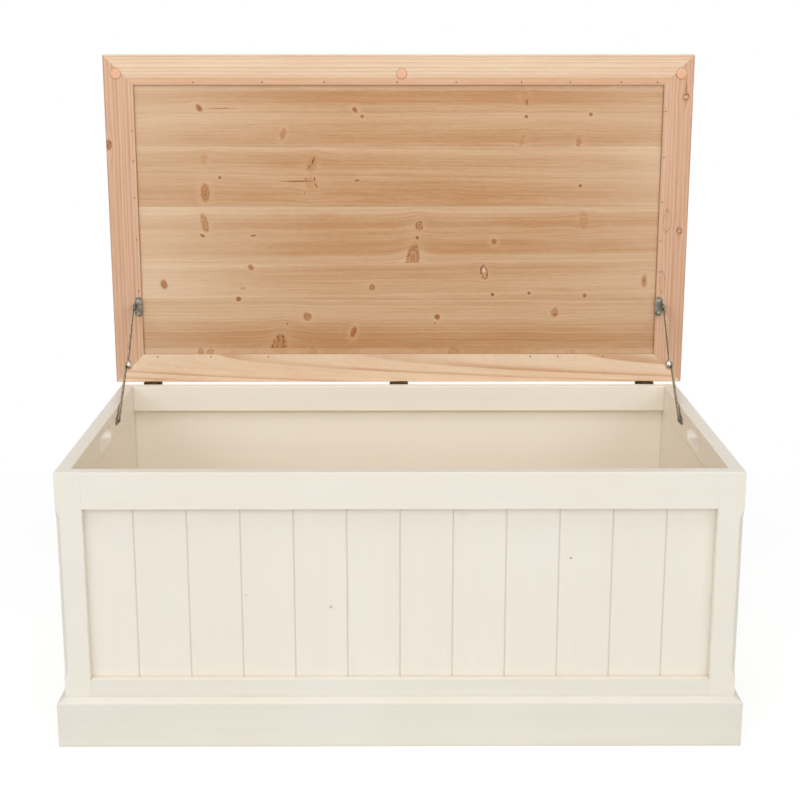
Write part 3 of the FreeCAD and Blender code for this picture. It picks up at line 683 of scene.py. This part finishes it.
pine("lid_plank_3", "X", seed=37.1, pith=(-60, 80), skew=9.0, taper=-6.0, sheen_shares=(0.18, 0.36),
     profile=[(0, 0.68), (0.17, 0.88), (0.31, 0.66), (0.45, 0.6), (0.7, 0.6), (0.84, 0.55), (0.93, 0.3),
              (1, 0.2)],
     knots=[(204, 159, 6.5, 12, 0, 0.3, 0, 0), (219.8, 177.6, 3, 2.8, 0, 1, 0, 0.5),
            (205.2, 193, 7.4, 15.5, 0, 0.76, 0.3, 0), (312, 164, 9, 15, 0.3, 0.36, 0, 0),
            (313, 161, 2, 9, 1.7, 0.8, 0, 0.9), (309, 168, 2.6, 4.6, 0.6, 0.4, 1, 0.2),
            (311, 184, 9, 13, -0.2, 0.34, 0, 0), (297, 181.3, 32, 1.5, 0, 0.85, 0, 0.6),
            (305.6, 179.4, 1.3, 4, 0.4, 0.8, 0, 0.8), (314.4, 179, 1.3, 4.6, -0.3, 0.8, 0, 0.85),
            (316, 185.6, 1.4, 6.6, -2.4, 0.8, 0, 0.8), (304.6, 193.5, 1.4, 4, 0.5, 0.6, 0, 0.4),
            (357.3, 180.5, 4.6, 2, 0.6, 0.7, 0, 0.95), (449.5, 199.4, 6.5, 10, 0, 0.12, 0, 0),
            (580.4, 185.9, 3.3, 3.2, 0, 1, 0, 0.4)])
pine("lid_plank_4", "X", seed=51.9, pith=(140, 65), skew=-11.0, taper=4.0, sheen_shares=(0.34, 0.18),
     profile=[(0, 0.25), (0.09, 0.35), (0.14, 0.8), (0.24, 0.74), (0.47, 0.58), (0.76, 0.68), (0.9, 0.32),
              (1, 0.1)],
     knots=[(204.6, 223, 6, 15, -0.45, 0.65, 0.45, 0), (202.6, 235.7, 4, 3, -0.6, 1, 0, 0.5),
            (253.4, 235.7, 5, 2, 0.6, 0.85, 0, 0.6), (419.3, 225.9, 6, 8.2, 0, 0.6, 0.7, 0.25),
            (417.3, 237.6, 3.4, 3.4, 0, 1, 0, 0.4), (412.5, 262.6, 11, 32, 0.3, 0.7, 0.5, 0),
            (414, 251, 2.6, 9, 0.3, 0.4, 0.4, 0.1), (494, 241.6, 5, 5.4, 0, 0.9, 0.1, 0.2),
            (583.6, 220.5, 7, 15, 0, 0.34, 0.14, 0)])
pine("lid_plank_5", "X", seed=67.3, pith=(-70, 75), skew=-16.0, taper=-5.0, sheen_shares=(0.44, 0.24),
     profile=[(0, 0.4), (0.18, 0.36), (0.41, 0.3), (0.63, 0.54), (0.85, 0.66), (1, 0.2)],
     plugs=[(484, 270.5, 3, 4.2, colour(228, 206, 176)), (485, 276.5, 2.4, 4, colour(206, 156, 108))],
     knots=[(251, 267.5, 4.8, 5.6, -0.3, 0.75, 0.04, 0.35), (164, 284.5, 5.6, 8.2, -0.2, 0.85, 0.3, 0.15),
            (243, 288.5, 5, 3, 0, 0.5, 0, 0), (372, 287.3, 5, 5.6, 0, 0.8, 0.4, 0),
            (484, 272, 6.4, 12, -0.2, 0.4, 0.95, 0), (492.5, 294.5, 3.2, 3.2, 0, 1, 0, 0.75),
            (529, 293, 3, 3, 0, 1, 0, 0.5), (584.7, 295.7, 3.6, 3.6, 0, 1, 0, 0.35),
            (644.2, 281, 5.2, 11, 0, 0.65, 0.1, 0), (644.2, 281, 1.6, 5.4, 0, 1, 0, 0.6),
            (238.5, 299, 4.6, 4.2, 0, 1, 0, 0.3)])
pine("lid_plank_6", "X", seed=83.5, pith=(170, 60), taper=6.0, sheen_shares=(0.2, 0.12),
     profile=[(0, 0.7), (0.15, 0.82), (0.32, 0.78), (0.48, 0.45), (0.64, 0.16), (0.81, 0.2), (1, 0.34)],
     knots=[(238.5, 299, 4.6, 4.2, 0, 1, 0, 0.3), (307.4, 316.6, 6.6, 7.2, 0, 0.76, 0.5, 0),
            (287.5, 323.8, 1.9, 2, 0, 1, 0, 0.5), (279, 347.5, 13, 22, 0.25, 0.6, 0.7, 0),
            (280, 346, 6, 14, 0.3, 0.6, 0.6, 0), (353.6, 332, 5.4, 9.4, 0.35, 0.95, 0.35, 0.1),
            (437.4, 317, 5, 5.2, 0, 1, 0.04, 0.25), (435, 323, 3, 1.6, 0.6, 0.6, 0, 0.4),
            (554.5, 312.6, 6, 8.4, 0, 0.6, 0.3, 0), (554.8, 314.5, 3.4, 3.2, 0, 0.95, 0, 0.1)])
pine("lid_plank_7", "X", seed=97.1, pith=(15, 40), corner=0.6, sheen_shares=(0.3, 0.15),
     profile=[(0, 0.5), (0.5, 0.45), (1, 0.6)],
     knots=[(201, 352, 4.5, 7, -0.4, 0.55, 0.4, 0), (210.4, 352, 6, 6, 0.3, 0.5, 0.4, 0),
            (312.3, 352, 7, 7, 0, 0.3, 0.3, 0), (453.5, 352, 8, 8, 0, 0.3, 0.4, 0),
            (570.4, 353, 7, 6, 0, 0.15, 0.3, 0)])

# %% [markdown]
# ## The lid's frame
# The four mitred members come from other trees. The long ones are pale and yellow, the upper one with close
# fine lines and a pink heartwood edge, the lower one with a few lines in long arches, because its tree's
# heart runs out of the board. The short ones are pink with broad soft lines, and they run along Z.

# %% Members of the lid's frame
FRONT_TONES = (colour(240, 214, 182), colour(223, 174, 138), colour(205, 160, 122))
REAR_TONES = (colour(244, 219, 189), colour(226, 181, 144), colour(206, 152, 107))
STILE_TONES = (colour(228, 190, 158), colour(214, 166, 134), colour(184, 126, 94))
# A painted highlight along the stiles' arrises.
ARRIS_HIGHLIGHT = (colour(246, 214, 182), 0.5)
# A darker line along the long members' arrises.
DARK_ARRIS = (colour(198, 154, 112), 0.6)
pine("lid_front_rail", "X", knots=[], seed=5.9, pith=(-120, 160), ring=4.2, lines=0.48, streak=0.6, wave=1.5,
     tones=FRONT_TONES, edge=DARK_ARRIS,
     profile=[(0, 0.95), (0.24, 0.85), (0.31, 0.22), (0.6, 0.14), (1, 0.2)])
pine("lid_rear_rail", "X", knots=[], seed=9.4, pith=(54, 80), ring=8.0, lines=0.75, streak=0.6, wave=2.0,
     taper=24.0, tones=REAR_TONES, edge=DARK_ARRIS, profile=[(0, 0.4), (0.5, 0.24), (1, 0.12)])
pine("lid_left_stile", "Z", seed=15.2, pith=(-90, 60), ring=5.5, lines=0.56, streak=0.9, wave=2.0,
     tones=STILE_TONES, edge=ARRIS_HIGHLIGHT, profile=[(0, 0.6), (0.3, 0.4), (0.7, 0.45), (1, 0.3)],
     knots=[(108.5, 145, 11, 6, 0, 0.5, 0, 0.35), (108.5, 145, 7.5, 5.5, 0, 0.6, 0.9, 0.2),
            (107.8, 146, 5, 1.6, 0.7, 0.6, 0, 1)])
pine("lid_right_stile", "Z", seed=19.8, pith=(120, 50), ring=6.5, lines=0.48, streak=0.9, wave=2.0,
     tones=STILE_TONES, edge=ARRIS_HIGHLIGHT, profile=[(0, 0.4), (0.4, 0.5), (0.7, 0.6), (1, 0.8)],
     plugs=[(686, 97, 2.6, 2.2, colour(222, 190, 172)), (679, 231, 2.4, 2.2, colour(206, 166, 138))],
     knots=[(686, 97, 11, 7, 0, 0.35, 0, 0.2), (679, 231, 9, 6.5, 0, 0.3, 0, 0.1),
            (686, 97, 5.5, 4.8, 0, 0.3, 1, 0), (679, 231, 5, 4.4, 0, 0.3, 1, 0),
            (667, 221, 20, 7, 0.1, 0, 0.3, 0), (662, 282, 20, 5, 0, 0.1, 0.3, 0),
            (686, 92, 32, 2.2, 0, 0.4, 0, 0.5)])

# %% [markdown]
# ## Bare base
# The base panel is plain plywood on battens. It lies in the shade of the box and shows only from above, so it
# takes the pine group without knots: one wide pale sheet whose rings run far apart.

# %% Base panel and battens
PLY_TONES = (colour(240, 220, 184), colour(230, 204, 160), colour(206, 170, 122))
PLY_LINES, PLY_WAVE, PLY_TONE, PLY_DULLNESS = 0.4, 8.0 * MM, 0.45, 0.2


def bare_wood(name, pith, ring, seed):
    """Unfinished wood with no knots, for pieces that lie flat: its rings run across Y and through Z."""
    material, graph, shader, place = new_material(name)
    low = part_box(name)[0]
    x, y, z = graph.split(place)
    wood = graph.use(
        pine_group, along=x, grain=y, through=z, pith_across=low.y + pith[0] * MM,
        pith_through=low.z + pith[1] * MM, ring=ring * MM, lines=PLY_LINES, streak=1.0, wave=PLY_WAVE,
        seed=seed, tone=PLY_TONE, early=PLY_TONES[0], warm=PLY_TONES[1], late=PLY_TONES[2])
    dress(graph, shader, wood["tint"], wood["roughness"] + PLY_DULLNESS, wood["height"], PINE_RELIEF)
    finish_with(material, name)


bare_wood("base_panel", pith=(180, 45), ring=9.0, seed=31.7)
bare_wood("base_battens", pith=(-40, 30), ring=4.0, seed=43.3)
print("base finished")

# %% [markdown]
# ## Metal
# The hinges are brass that has gone brown, the stays are zinc-plated steel and the elbow knob is bright
# nickel. A metal's look is mostly its reflections, so what tells these apart is colour, roughness, and how
# unevenly both are spread. One group makes the uneven film of soft stains and fine scratches, and a metal is
# given by its clean and tarnished colours, its roughness and how much of the film it carries.

# %% Metals
STAIN_SCALE, STAIN_RANGE = 160.0, (0.35, 0.7)
SCRATCH_SCALE, SCRATCH_STRETCH, SCRATCH_DEPTH = 2600.0, (1.0, 0.08, 0.08), 0.01 * MM
METAL_EDGE, METAL_CORNER_REACH = 0.4 * MM, 2.0 * MM
CORNER_TARNISH, FILM_DULLNESS = 0.5, 0.25
metal_group, graph, given, result = new_group(
    "metal_film", dict(Vector="place", Float="stain"), dict(Float="film scratch"))
place, stain = given
cloud = graph.noise(place, STAIN_SCALE, detail=4.0, roughness=0.6)
scratch = graph.noise(graph.vectors("MULTIPLY", place, SCRATCH_STRETCH), SCRATCH_SCALE)
graph.feed_named(result, film=cloud.between(*STAIN_RANGE) * stain, scratch=scratch)


def metal(name, clean, tarnished, roughness, stain):
    """A plated or tarnished metal: colour and roughness both follow the film."""
    material, graph, shader, place = new_material(name)
    film, scratch = graph.use(metal_group, place=place, stain=stain).values()
    edges = graph.use(edge_group, radius=METAL_EDGE, reach=METAL_CORNER_REACH)
    tint = graph.mix(film, clean, tarnished)
    tint = graph.mix(edges["corner"] * CORNER_TARNISH, tint, tarnished)
    dress(graph, shader, tint, film * FILM_DULLNESS + roughness, scratch, SCRATCH_DEPTH, edges["normal"])
    graph.feed(shader.inputs["Metallic"], 1.0)
    return material


print("made group", metal_group.name)

# %% [markdown]
# Six metals dress the chest. The screws and the nickel are for the fittings that are modelled further down.

# %% Hinges, stays and brads
HINGES = ("left", "centre", "right")
hinge_bronze = metal("hinge_bronze", colour(92, 73, 48), colour(44, 34, 23), roughness=0.5, stain=1.0)
stay_steel = metal("stay_steel", colour(168, 157, 138), colour(118, 108, 90), roughness=0.45, stain=0.9)
bracket_steel = metal("bracket_steel", colour(158, 154, 144), colour(96, 92, 84), roughness=0.45, stain=0.9)
bright_nickel = metal("bright_nickel", colour(212, 209, 203), colour(166, 160, 150), roughness=0.2, stain=0.6)
screw_steel = metal("screw_steel", colour(196, 190, 178), colour(128, 120, 106), roughness=0.34, stain=0.8)
brad_steel = metal("brad_steel", colour(96, 74, 56), colour(52, 38, 28), roughness=0.5, stain=1.0)
finish_with(brad_steel, "lid_brads")
finish_with(hinge_bronze, "hinge_pins")
for hinge in HINGES:
    finish_with(hinge_bronze, hinge + "_hinge_chest_leaf", hinge + "_hinge_lid_leaf")
for side in SIGNS:
    finish_with(stay_steel, side + "_stay_lower_arm", side + "_stay_upper_arm")
    finish_with(bracket_steel, side + "_stay_side_bracket", side + "_stay_lid_bracket")
print("metals:", [material.name for material in (hinge_bronze, stay_steel, bracket_steel, brad_steel)])

# %% [markdown]
# ## Turned fittings
# Screws, rivets, knobs and pads are all round about an axis, so one function makes them: a profile of radii
# and heights is swept round, and a relief can press a shape into its face. Each fitting is drawn in
# millimetres about Z, with Z pointing into what it is fixed to, and is then copied to every place where the
# chest has one. The copies of one kind are one mesh.

# %% A round piece from its profile
def turned(profile, around, relief=None):
    """Points, four-sided faces and end triangles of a closed round piece about Z.

    Row i of the grid is a circle with the profile's radius i at its height i, and its points lie at equal
    turns. The profile starts and ends on the axis, where fans of triangles close the piece. Relief gives the
    points of the face, out to the largest radius, extra height from their x and y.
    """
    radii, heights = np.array(profile).T
    turn = np.arange(around) * 2 * np.pi / around
    flat = radii[:, None, None] * np.stack([np.cos(turn), np.sin(turn)], axis=1)
    height = np.repeat(heights[:, None], around, axis=1)
    if relief:
        on_face = np.arange(len(radii)) <= radii.argmax()
        height = height + relief(flat) * on_face[:, None]
    grid = np.concatenate([flat, height[..., None]], axis=2)
    rows = grid[1:-1].reshape(-1, 3)
    points = np.concatenate([grid[0, :1], rows, grid[-1, :1]])
    index = 1 + np.arange(len(rows)).reshape(-1, around)
    after = np.roll(index, -1, axis=1)
    quads = np.stack([index[:-1], after[:-1], after[1:], index[1:]], axis=2).reshape(-1, 4)
    first = np.stack([np.zeros(around, int), after[0], index[0]], axis=1)
    last = np.stack([np.full(around, len(points) - 1), index[-1], after[-1]], axis=1)
    return points * MM, quads, np.concatenate([first, last])


def placed(points, origin, inward):
    """Points drawn about Z, carried to an origin with their Z turned inward."""
    inward = Vector(inward)
    side = inward.orthogonal().normalized()
    return points @ np.array([side, inward.cross(side), inward]) + np.array(origin)


def fitting(name, shape, places, material, body, slot, *replaced):
    """One mesh with a copy of a turned shape at every place, riding on a body in place of plainer nodes."""
    points, quads, fans = shape
    shift = len(points) * np.arange(len(places))[:, None, None]
    mesh = bpy.data.meshes.new(name)
    mesh.from_pydata(np.concatenate([placed(points, *place) for place in places]).tolist(), [],
                     (quads + shift).reshape(-1, 4).tolist() + (fans + shift).reshape(-1, 3).tolist())
    mesh.polygons.foreach_set("use_smooth", np.ones(len(mesh.polygons), bool))
    mesh.materials.append(material)
    piece = new_object(name, mesh)
    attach(piece, body)
    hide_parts(*replaced)
    print(name, "copies", len(places), "points", len(mesh.vertices))


# %% [markdown]
# A countersunk screw's head is flush with its plate, and what the eye knows it by is the cross. Two narrow
# slots are pressed into the head, deepest in the middle.

# %% The shape of a cross-head screw
SCREW_HEAD, SCREW_SHANK, SCREW_POINT = 2.9, 1.5, 0.3
SCREW_LENGTH, SCREW_TIP = 14.0, 4.0
HEAD_SHARES, HEAD_CROWN = np.linspace(0, 0.95, 18), 0.12
HEAD_EDGE, HEAD_BREAK = 0.2, 0.1
CROSS_HALF_WIDTH, CROSS_REACH, CROSS_DEPTH, SLOT_EASE = 0.4, 1.9, 0.9, 0.5
SCREW_SIDES = 64
PLATE = 1.5


def cross(flat):
    """Depth of a cross: two slots with eased walls, shallower towards their ends."""
    x, y = np.abs(flat[..., 0]), np.abs(flat[..., 1])
    half_width = (1 + SLOT_EASE) * CROSS_HALF_WIDTH
    in_slot = np.clip((half_width - np.minimum(x, y)) / (SLOT_EASE * CROSS_HALF_WIDTH), 0, 1)
    return CROSS_DEPTH * in_slot * np.clip((CROSS_REACH - np.hypot(x, y)) / (SLOT_EASE * CROSS_REACH), 0, 1)


screw_profile = [(SCREW_HEAD * share, HEAD_CROWN * share ** 2) for share in HEAD_SHARES]
screw_profile += [(SCREW_HEAD, HEAD_EDGE), (SCREW_HEAD - HEAD_BREAK / 2, HEAD_EDGE + HEAD_BREAK),
                  (SCREW_SHANK, PLATE), (SCREW_SHANK, PLATE + HEAD_BREAK),
                  (SCREW_SHANK, SCREW_LENGTH - SCREW_TIP), (SCREW_POINT, SCREW_LENGTH), (0.0, SCREW_LENGTH)]
screw = turned(screw_profile, SCREW_SIDES, cross)
print("points in a screw:", len(screw[0]))

# %% [markdown]
# There are two screws to a bracket and two to a hinge leaf. The plates say where: each screw sits at a share
# of its plate's length to either side of the middle, with its head flush with the plate's open face.

# %% Where the screws go
BRACKET_SCREW_SHARES = (-0.32, 0.32)
LEAF_SCREW_SHARES = (-0.3, 0.3)
LEAF_SCREW_DOWN_SHARE = 0.3925
LEAF_SCREW_BACK_SHARE = 0.6075
chest_places, lid_places = [], []
for side, sign in SIGNS.items():
    for share in BRACKET_SCREW_SHARES:
        low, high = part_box(side + "_stay_side_bracket")
        centre = (low + high) / 2
        face_x = low.x if sign > 0 else high.x
        chest_places.append(((face_x, centre.y + share * (high.y - low.y), centre.z), (sign, 0, 0)))
        low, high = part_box(side + "_stay_lid_bracket")
        centre = (low + high) / 2
        z = centre.z + share * (high.z - low.z)
        lid_places.append(((centre.x, high.y - PLATE * MM, z), (0, 1, 0)))
for hinge in HINGES:
    for share in LEAF_SCREW_SHARES:
        low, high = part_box(hinge + "_hinge_chest_leaf")
        x = (low.x + high.x) / 2 + share * (high.x - low.x)
        z = low.z + LEAF_SCREW_DOWN_SHARE * (high.z - low.z)
        chest_places.append(((x, low.y + PLATE * MM, z), (0, -1, 0)))
        low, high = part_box(hinge + "_hinge_lid_leaf")
        y = low.y + LEAF_SCREW_BACK_SHARE * (high.y - low.y)
        lid_places.append(((x, y, high.z - PLATE * MM), (0, 0, 1)))
fitting("cross_screws_chest", screw, chest_places, screw_steel, "chest", "screw_steel", "chest_screws")
fitting("cross_screws_lid", screw, lid_places, screw_steel, "lid", "screw_steel", "lid_screws")

# %% [markdown]
# Where the two arms of a stay meet there is a turned knob: a flange against the arm, a short neck and a round
# cap that catches the light. A quarter circle in the profile gives the cap its dome. The knob's shank goes
# through the upper arm, so it rides on that arm.

# %% Elbow knobs
KNOB_CAP, KNOB_RISE, CAP_FOOT = 7.8, 2.9, 3.2
KNOB_NECK, NECK_TOP, NECK_FOOT = 7.0, 3.4, 3.8
FLANGE_TOP, FLANGE_BREAK, SEAT_BREAK = 4.1, 0.4, 0.3
KNOB_SHANK = 2.5
KNOB_SIDES = 48
QUARTER = np.linspace(0, np.pi / 2, 9)


def dome(radius, rise, top):
    """A profile from the axis at the top down to the rim of a dome."""
    return [(radius * math.sin(turn), top + rise * (1 - math.cos(turn))) for turn in QUARTER]


for side, sign in SIGNS.items():
    low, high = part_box(side + "_stay_knob")
    arm_low, arm_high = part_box(side + "_stay_upper_arm")
    flange = (high.y - low.y) / 2 / MM
    depth = (high.x - low.x) / MM
    seat = depth - (arm_high.x - arm_low.x) / MM
    profile = dome(KNOB_CAP, KNOB_RISE, 0.0)
    profile += [(KNOB_CAP, CAP_FOOT), (KNOB_NECK, NECK_TOP), (KNOB_NECK, NECK_FOOT),
                (flange - FLANGE_BREAK, FLANGE_TOP), (flange, FLANGE_TOP + FLANGE_BREAK),
                (flange, seat - FLANGE_BREAK), (flange - SEAT_BREAK, seat), (KNOB_SHANK, seat),
                (KNOB_SHANK, depth), (0.0, depth)]
    centre = (low + high) / 2
    places = [((low.x if sign > 0 else high.x, centre.y, centre.z), (sign, 0, 0))]
    fitting(side + "_turned_knob", turned(profile, KNOB_SIDES), places, bright_nickel, side + "_upper_arm",
            "bright_steel", side + "_stay_knob")

# %% [markdown]
# The stays turn on rivets, whose low heads are domes too. At the side the rivet ends in the bracket, and at
# the lid it goes through the bracket's ear and has two heads.

# %% Rivets
RIVET_HEAD, RIVET_SHANK, RIVET_RISE = 4.0, 2.0, 1.3
RIVET_SIDES = 40
ARM_GAP = 0.5
EAR_RADIUS = 6.0


def rivet(length, headed):
    """A rivet whose first head rests at height zero, with a second head at the far end if headed there."""
    head = dome(RIVET_HEAD, RIVET_RISE, -RIVET_RISE)
    far_end = [(radius, length - height) for radius, height in head[::-1]] if headed else [(0.0, length)]
    return turned(head + [(RIVET_SHANK, 0.0), (RIVET_SHANK, length)] + far_end, RIVET_SIDES)


side_places, ear_places = [], []
for side, sign in SIGNS.items():
    low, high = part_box(side + "_stay_side_bracket")
    centre = (low + high) / 2
    arm_face = min(abs(edge.x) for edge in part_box(side + "_stay_lower_arm"))
    side_places.append(((sign * (arm_face - ARM_GAP / 2 * MM), centre.y, centre.z), (sign, 0, 0)))
    side_length = (max(abs(low.x), abs(high.x)) - arm_face) / MM + ARM_GAP / 2
    low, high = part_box(side + "_stay_lid_bracket")
    inner, outer = sorted(abs(edge.x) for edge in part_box(side + "_stay_upper_arm"))
    ear_face = inner - (ARM_GAP + PLATE) * MM
    ear_places.append(((sign * ear_face, low.y + EAR_RADIUS * MM, (low.z + high.z) / 2), (sign, 0, 0)))
    ear_length = (outer - ear_face) / MM + ARM_GAP / 2
fitting("domed_rivets_chest", rivet(side_length, False), side_places, bracket_steel, "chest", "stay_steel",
        "stay_side_rivets")
fitting("domed_rivets_lid", rivet(ear_length, True), ear_places, bracket_steel, "lid", "stay_steel",
        "stay_lid_rivets")

# %% [markdown]
# ## Buffers
# Three peach-coloured pads under the lid's front edge keep it from slamming. They are soft, slightly domed
# discs of plastic foam with a fine skin and a rounded rim. The middle one was stuck on a little off centre.

# %% Buffer pads
PAD_TONES = (colour(243, 192, 156), colour(234, 178, 142))
PAD_SKIN_SCALE, PAD_SKIN_RANGE = 700.0, (0.3, 0.7)
PAD_ROUGHNESS, PAD_ROUGHNESS_SWING = 0.5, 0.2
PAD_CROWN, PAD_RIM_START, PAD_RIM = 0.5, 0.9, 1.0
PAD_SHARES = np.linspace(0, PAD_RIM_START, 10)
PAD_SHIFT = 5.0 * MM
PAD_SIDES = 48
pad, graph, shader, place = new_material("buffer_pad")
skin = graph.noise(place, PAD_SKIN_SCALE, detail=3.0)
graph.feed(shader.inputs["Base Color"], graph.mix(skin.between(*PAD_SKIN_RANGE), *PAD_TONES))
graph.feed(shader.inputs["Roughness"], skin * PAD_ROUGHNESS_SWING + PAD_ROUGHNESS)
low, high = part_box("lid_buffers")
pad_radius = (high.z - low.z) / 2 / MM
pad_height = (high.y - low.y) / MM
pad_profile = [(pad_radius * share, PAD_CROWN * share ** 2) for share in PAD_SHARES]
pad_profile += [(pad_radius * (PAD_RIM_START + (1 - PAD_RIM_START) * math.sin(turn)),
                 PAD_CROWN + PAD_RIM * (1 - math.cos(turn))) for turn in QUARTER[1:]]
pad_profile += [(pad_radius, pad_height), (0.0, pad_height)]
pad_places = [((x, low.y, (low.z + high.z) / 2), (0, 1, 0))
              for x in (low.x + pad_radius * MM, PAD_SHIFT, high.x - pad_radius * MM)]
fitting("domed_buffers", turned(pad_profile, PAD_SIDES), pad_places, pad, "lid", "buffer", "lid_buffers")

# %% [markdown]
# ## Studio: the floor
# The chest stands on a white floor in a white room. For the eye the floor is plain white far out, and close
# in it keeps the chest's soft shadow. For all other light it is an ordinary pale floor, which throws some
# light back up at the plinth. The Light Path node tells the two apart.

# %% Floor
FLOOR_HALF = 12.0
SHADOW_NEAR, SHADOW_FAR = 0.75, 1.6
FLOOR_GREY, FLOOR_ROUGHNESS, FLOOR_GLOSS = (0.8, 0.8, 0.8, 1.0), 0.9, 0.1
FLOOR_LIFT, FLOOR_SHADE = 0.72, (0.42, 0.42, 0.42, 1.0)
FLOOR_CORNERS = ((-1, -1, 0), (1, -1, 0), (1, 1, 0), (-1, 1, 0))
floor_mesh = bpy.data.meshes.new("floor")
floor_mesh.from_pydata((np.array(FLOOR_CORNERS) * FLOOR_HALF).tolist(), [], [(0, 1, 2, 3)])
floor = new_object("floor", floor_mesh)


def seen_by_eye(graph):
    """1 for rays that carry the background to the eye: straight, by reflection or through glass."""
    path = graph.add("ShaderNodeLightPath").outputs
    camera_ray, glossy_ray, glass_ray = [
        Value(graph, path["Is %s Ray" % kind]) for kind in ("Camera", "Glossy", "Transmission")]
    return graph.math("MAXIMUM", graph.math("MAXIMUM", camera_ray, glossy_ray), glass_ray)


floor_material, graph, shader, place = new_material("white_floor")
graph.feed(shader.inputs["Base Color"], FLOOR_GREY)
graph.feed(shader.inputs["Roughness"], FLOOR_ROUGHNESS)
graph.feed(shader.inputs["Specular IOR Level"], FLOOR_GLOSS)
white = graph.value("ShaderNodeEmission", WHITE, 1.0)
lifted = graph.value("ShaderNodeEmission", WHITE, FLOOR_LIFT)
near_look = graph.value("ShaderNodeAddShader", lifted, graph.value("ShaderNodeBsdfDiffuse", FLOOR_SHADE))
far_out = graph.vectors("LENGTH", place).between(SHADOW_NEAR, SHADOW_FAR)
eye_look = graph.value("ShaderNodeMixShader", far_out, near_look, white)
plain_look = Value(graph, shader.outputs[0])
whole_look = graph.value("ShaderNodeMixShader", seen_by_eye(graph), plain_look, eye_look)
graph.feed_named(floor_material.node_tree.nodes["Material Output"], Surface=whole_look)
floor_mesh.materials.append(floor_material)
print("floor laid,", 2 * FLOOR_HALF, "metres across")

# %% [markdown]
# ## Studio: the light
# Two broad soft boxes beside the camera light the front and add a real sheen at both ends of the lid, on top
# of the sheen painted into the boards. A small one above opens up the inside of the box, and a low one behind
# keeps the back from going dark. That last one is hidden from reflections, so that it leaves no streak on the
# metal. The room itself glows a little.

# %% World and soft boxes
ROOM_LIGHT = 0.24
SOFT_BOXES = {
    "left_soft_box": ((-3.4, -4.2, 2.8), (4.4, 3.4), 112.0),
    "right_soft_box": ((3.4, -4.4, 2.8), (4.4, 3.4), 106.0),
    "top_soft_box": ((0.0, -1.2, 3.1), (2.0, 1.2), 25.0),
    "rear_soft_box": ((0.0, 4.4, 0.9), (3.0, 1.4), 90.0),
}
world = bpy.data.worlds.new("white_room")
scene.world = world
world.use_nodes = True
graph = Graph(world.node_tree)
room_glow = seen_by_eye(graph) * (1 - ROOM_LIGHT) + ROOM_LIGHT
graph.feed_named(world.node_tree.nodes["Background"], Color=WHITE, Strength=room_glow)


def soft_box(name, place, size, watts):
    """A rectangular area light at a place, turned to face the middle of the chest."""
    lamp = bpy.data.lights.new(name, "AREA")
    lamp.shape = "RECTANGLE"
    lamp.size, lamp.size_y = size
    lamp.energy = watts
    box = new_object(name, lamp)
    box.location = place
    towards = (cad_low + cad_high) / 2 - Vector(place)
    box.rotation_euler = towards.to_track_quat("-Z", "Y").to_euler()
    return box


boxes = {name: soft_box(name, *setting) for name, setting in SOFT_BOXES.items()}
boxes["rear_soft_box"].visible_glossy = False
print("room light", ROOM_LIGHT, "and soft boxes:", len(boxes))

# %% [markdown]
# The finished model may not grow past the chest's own box.
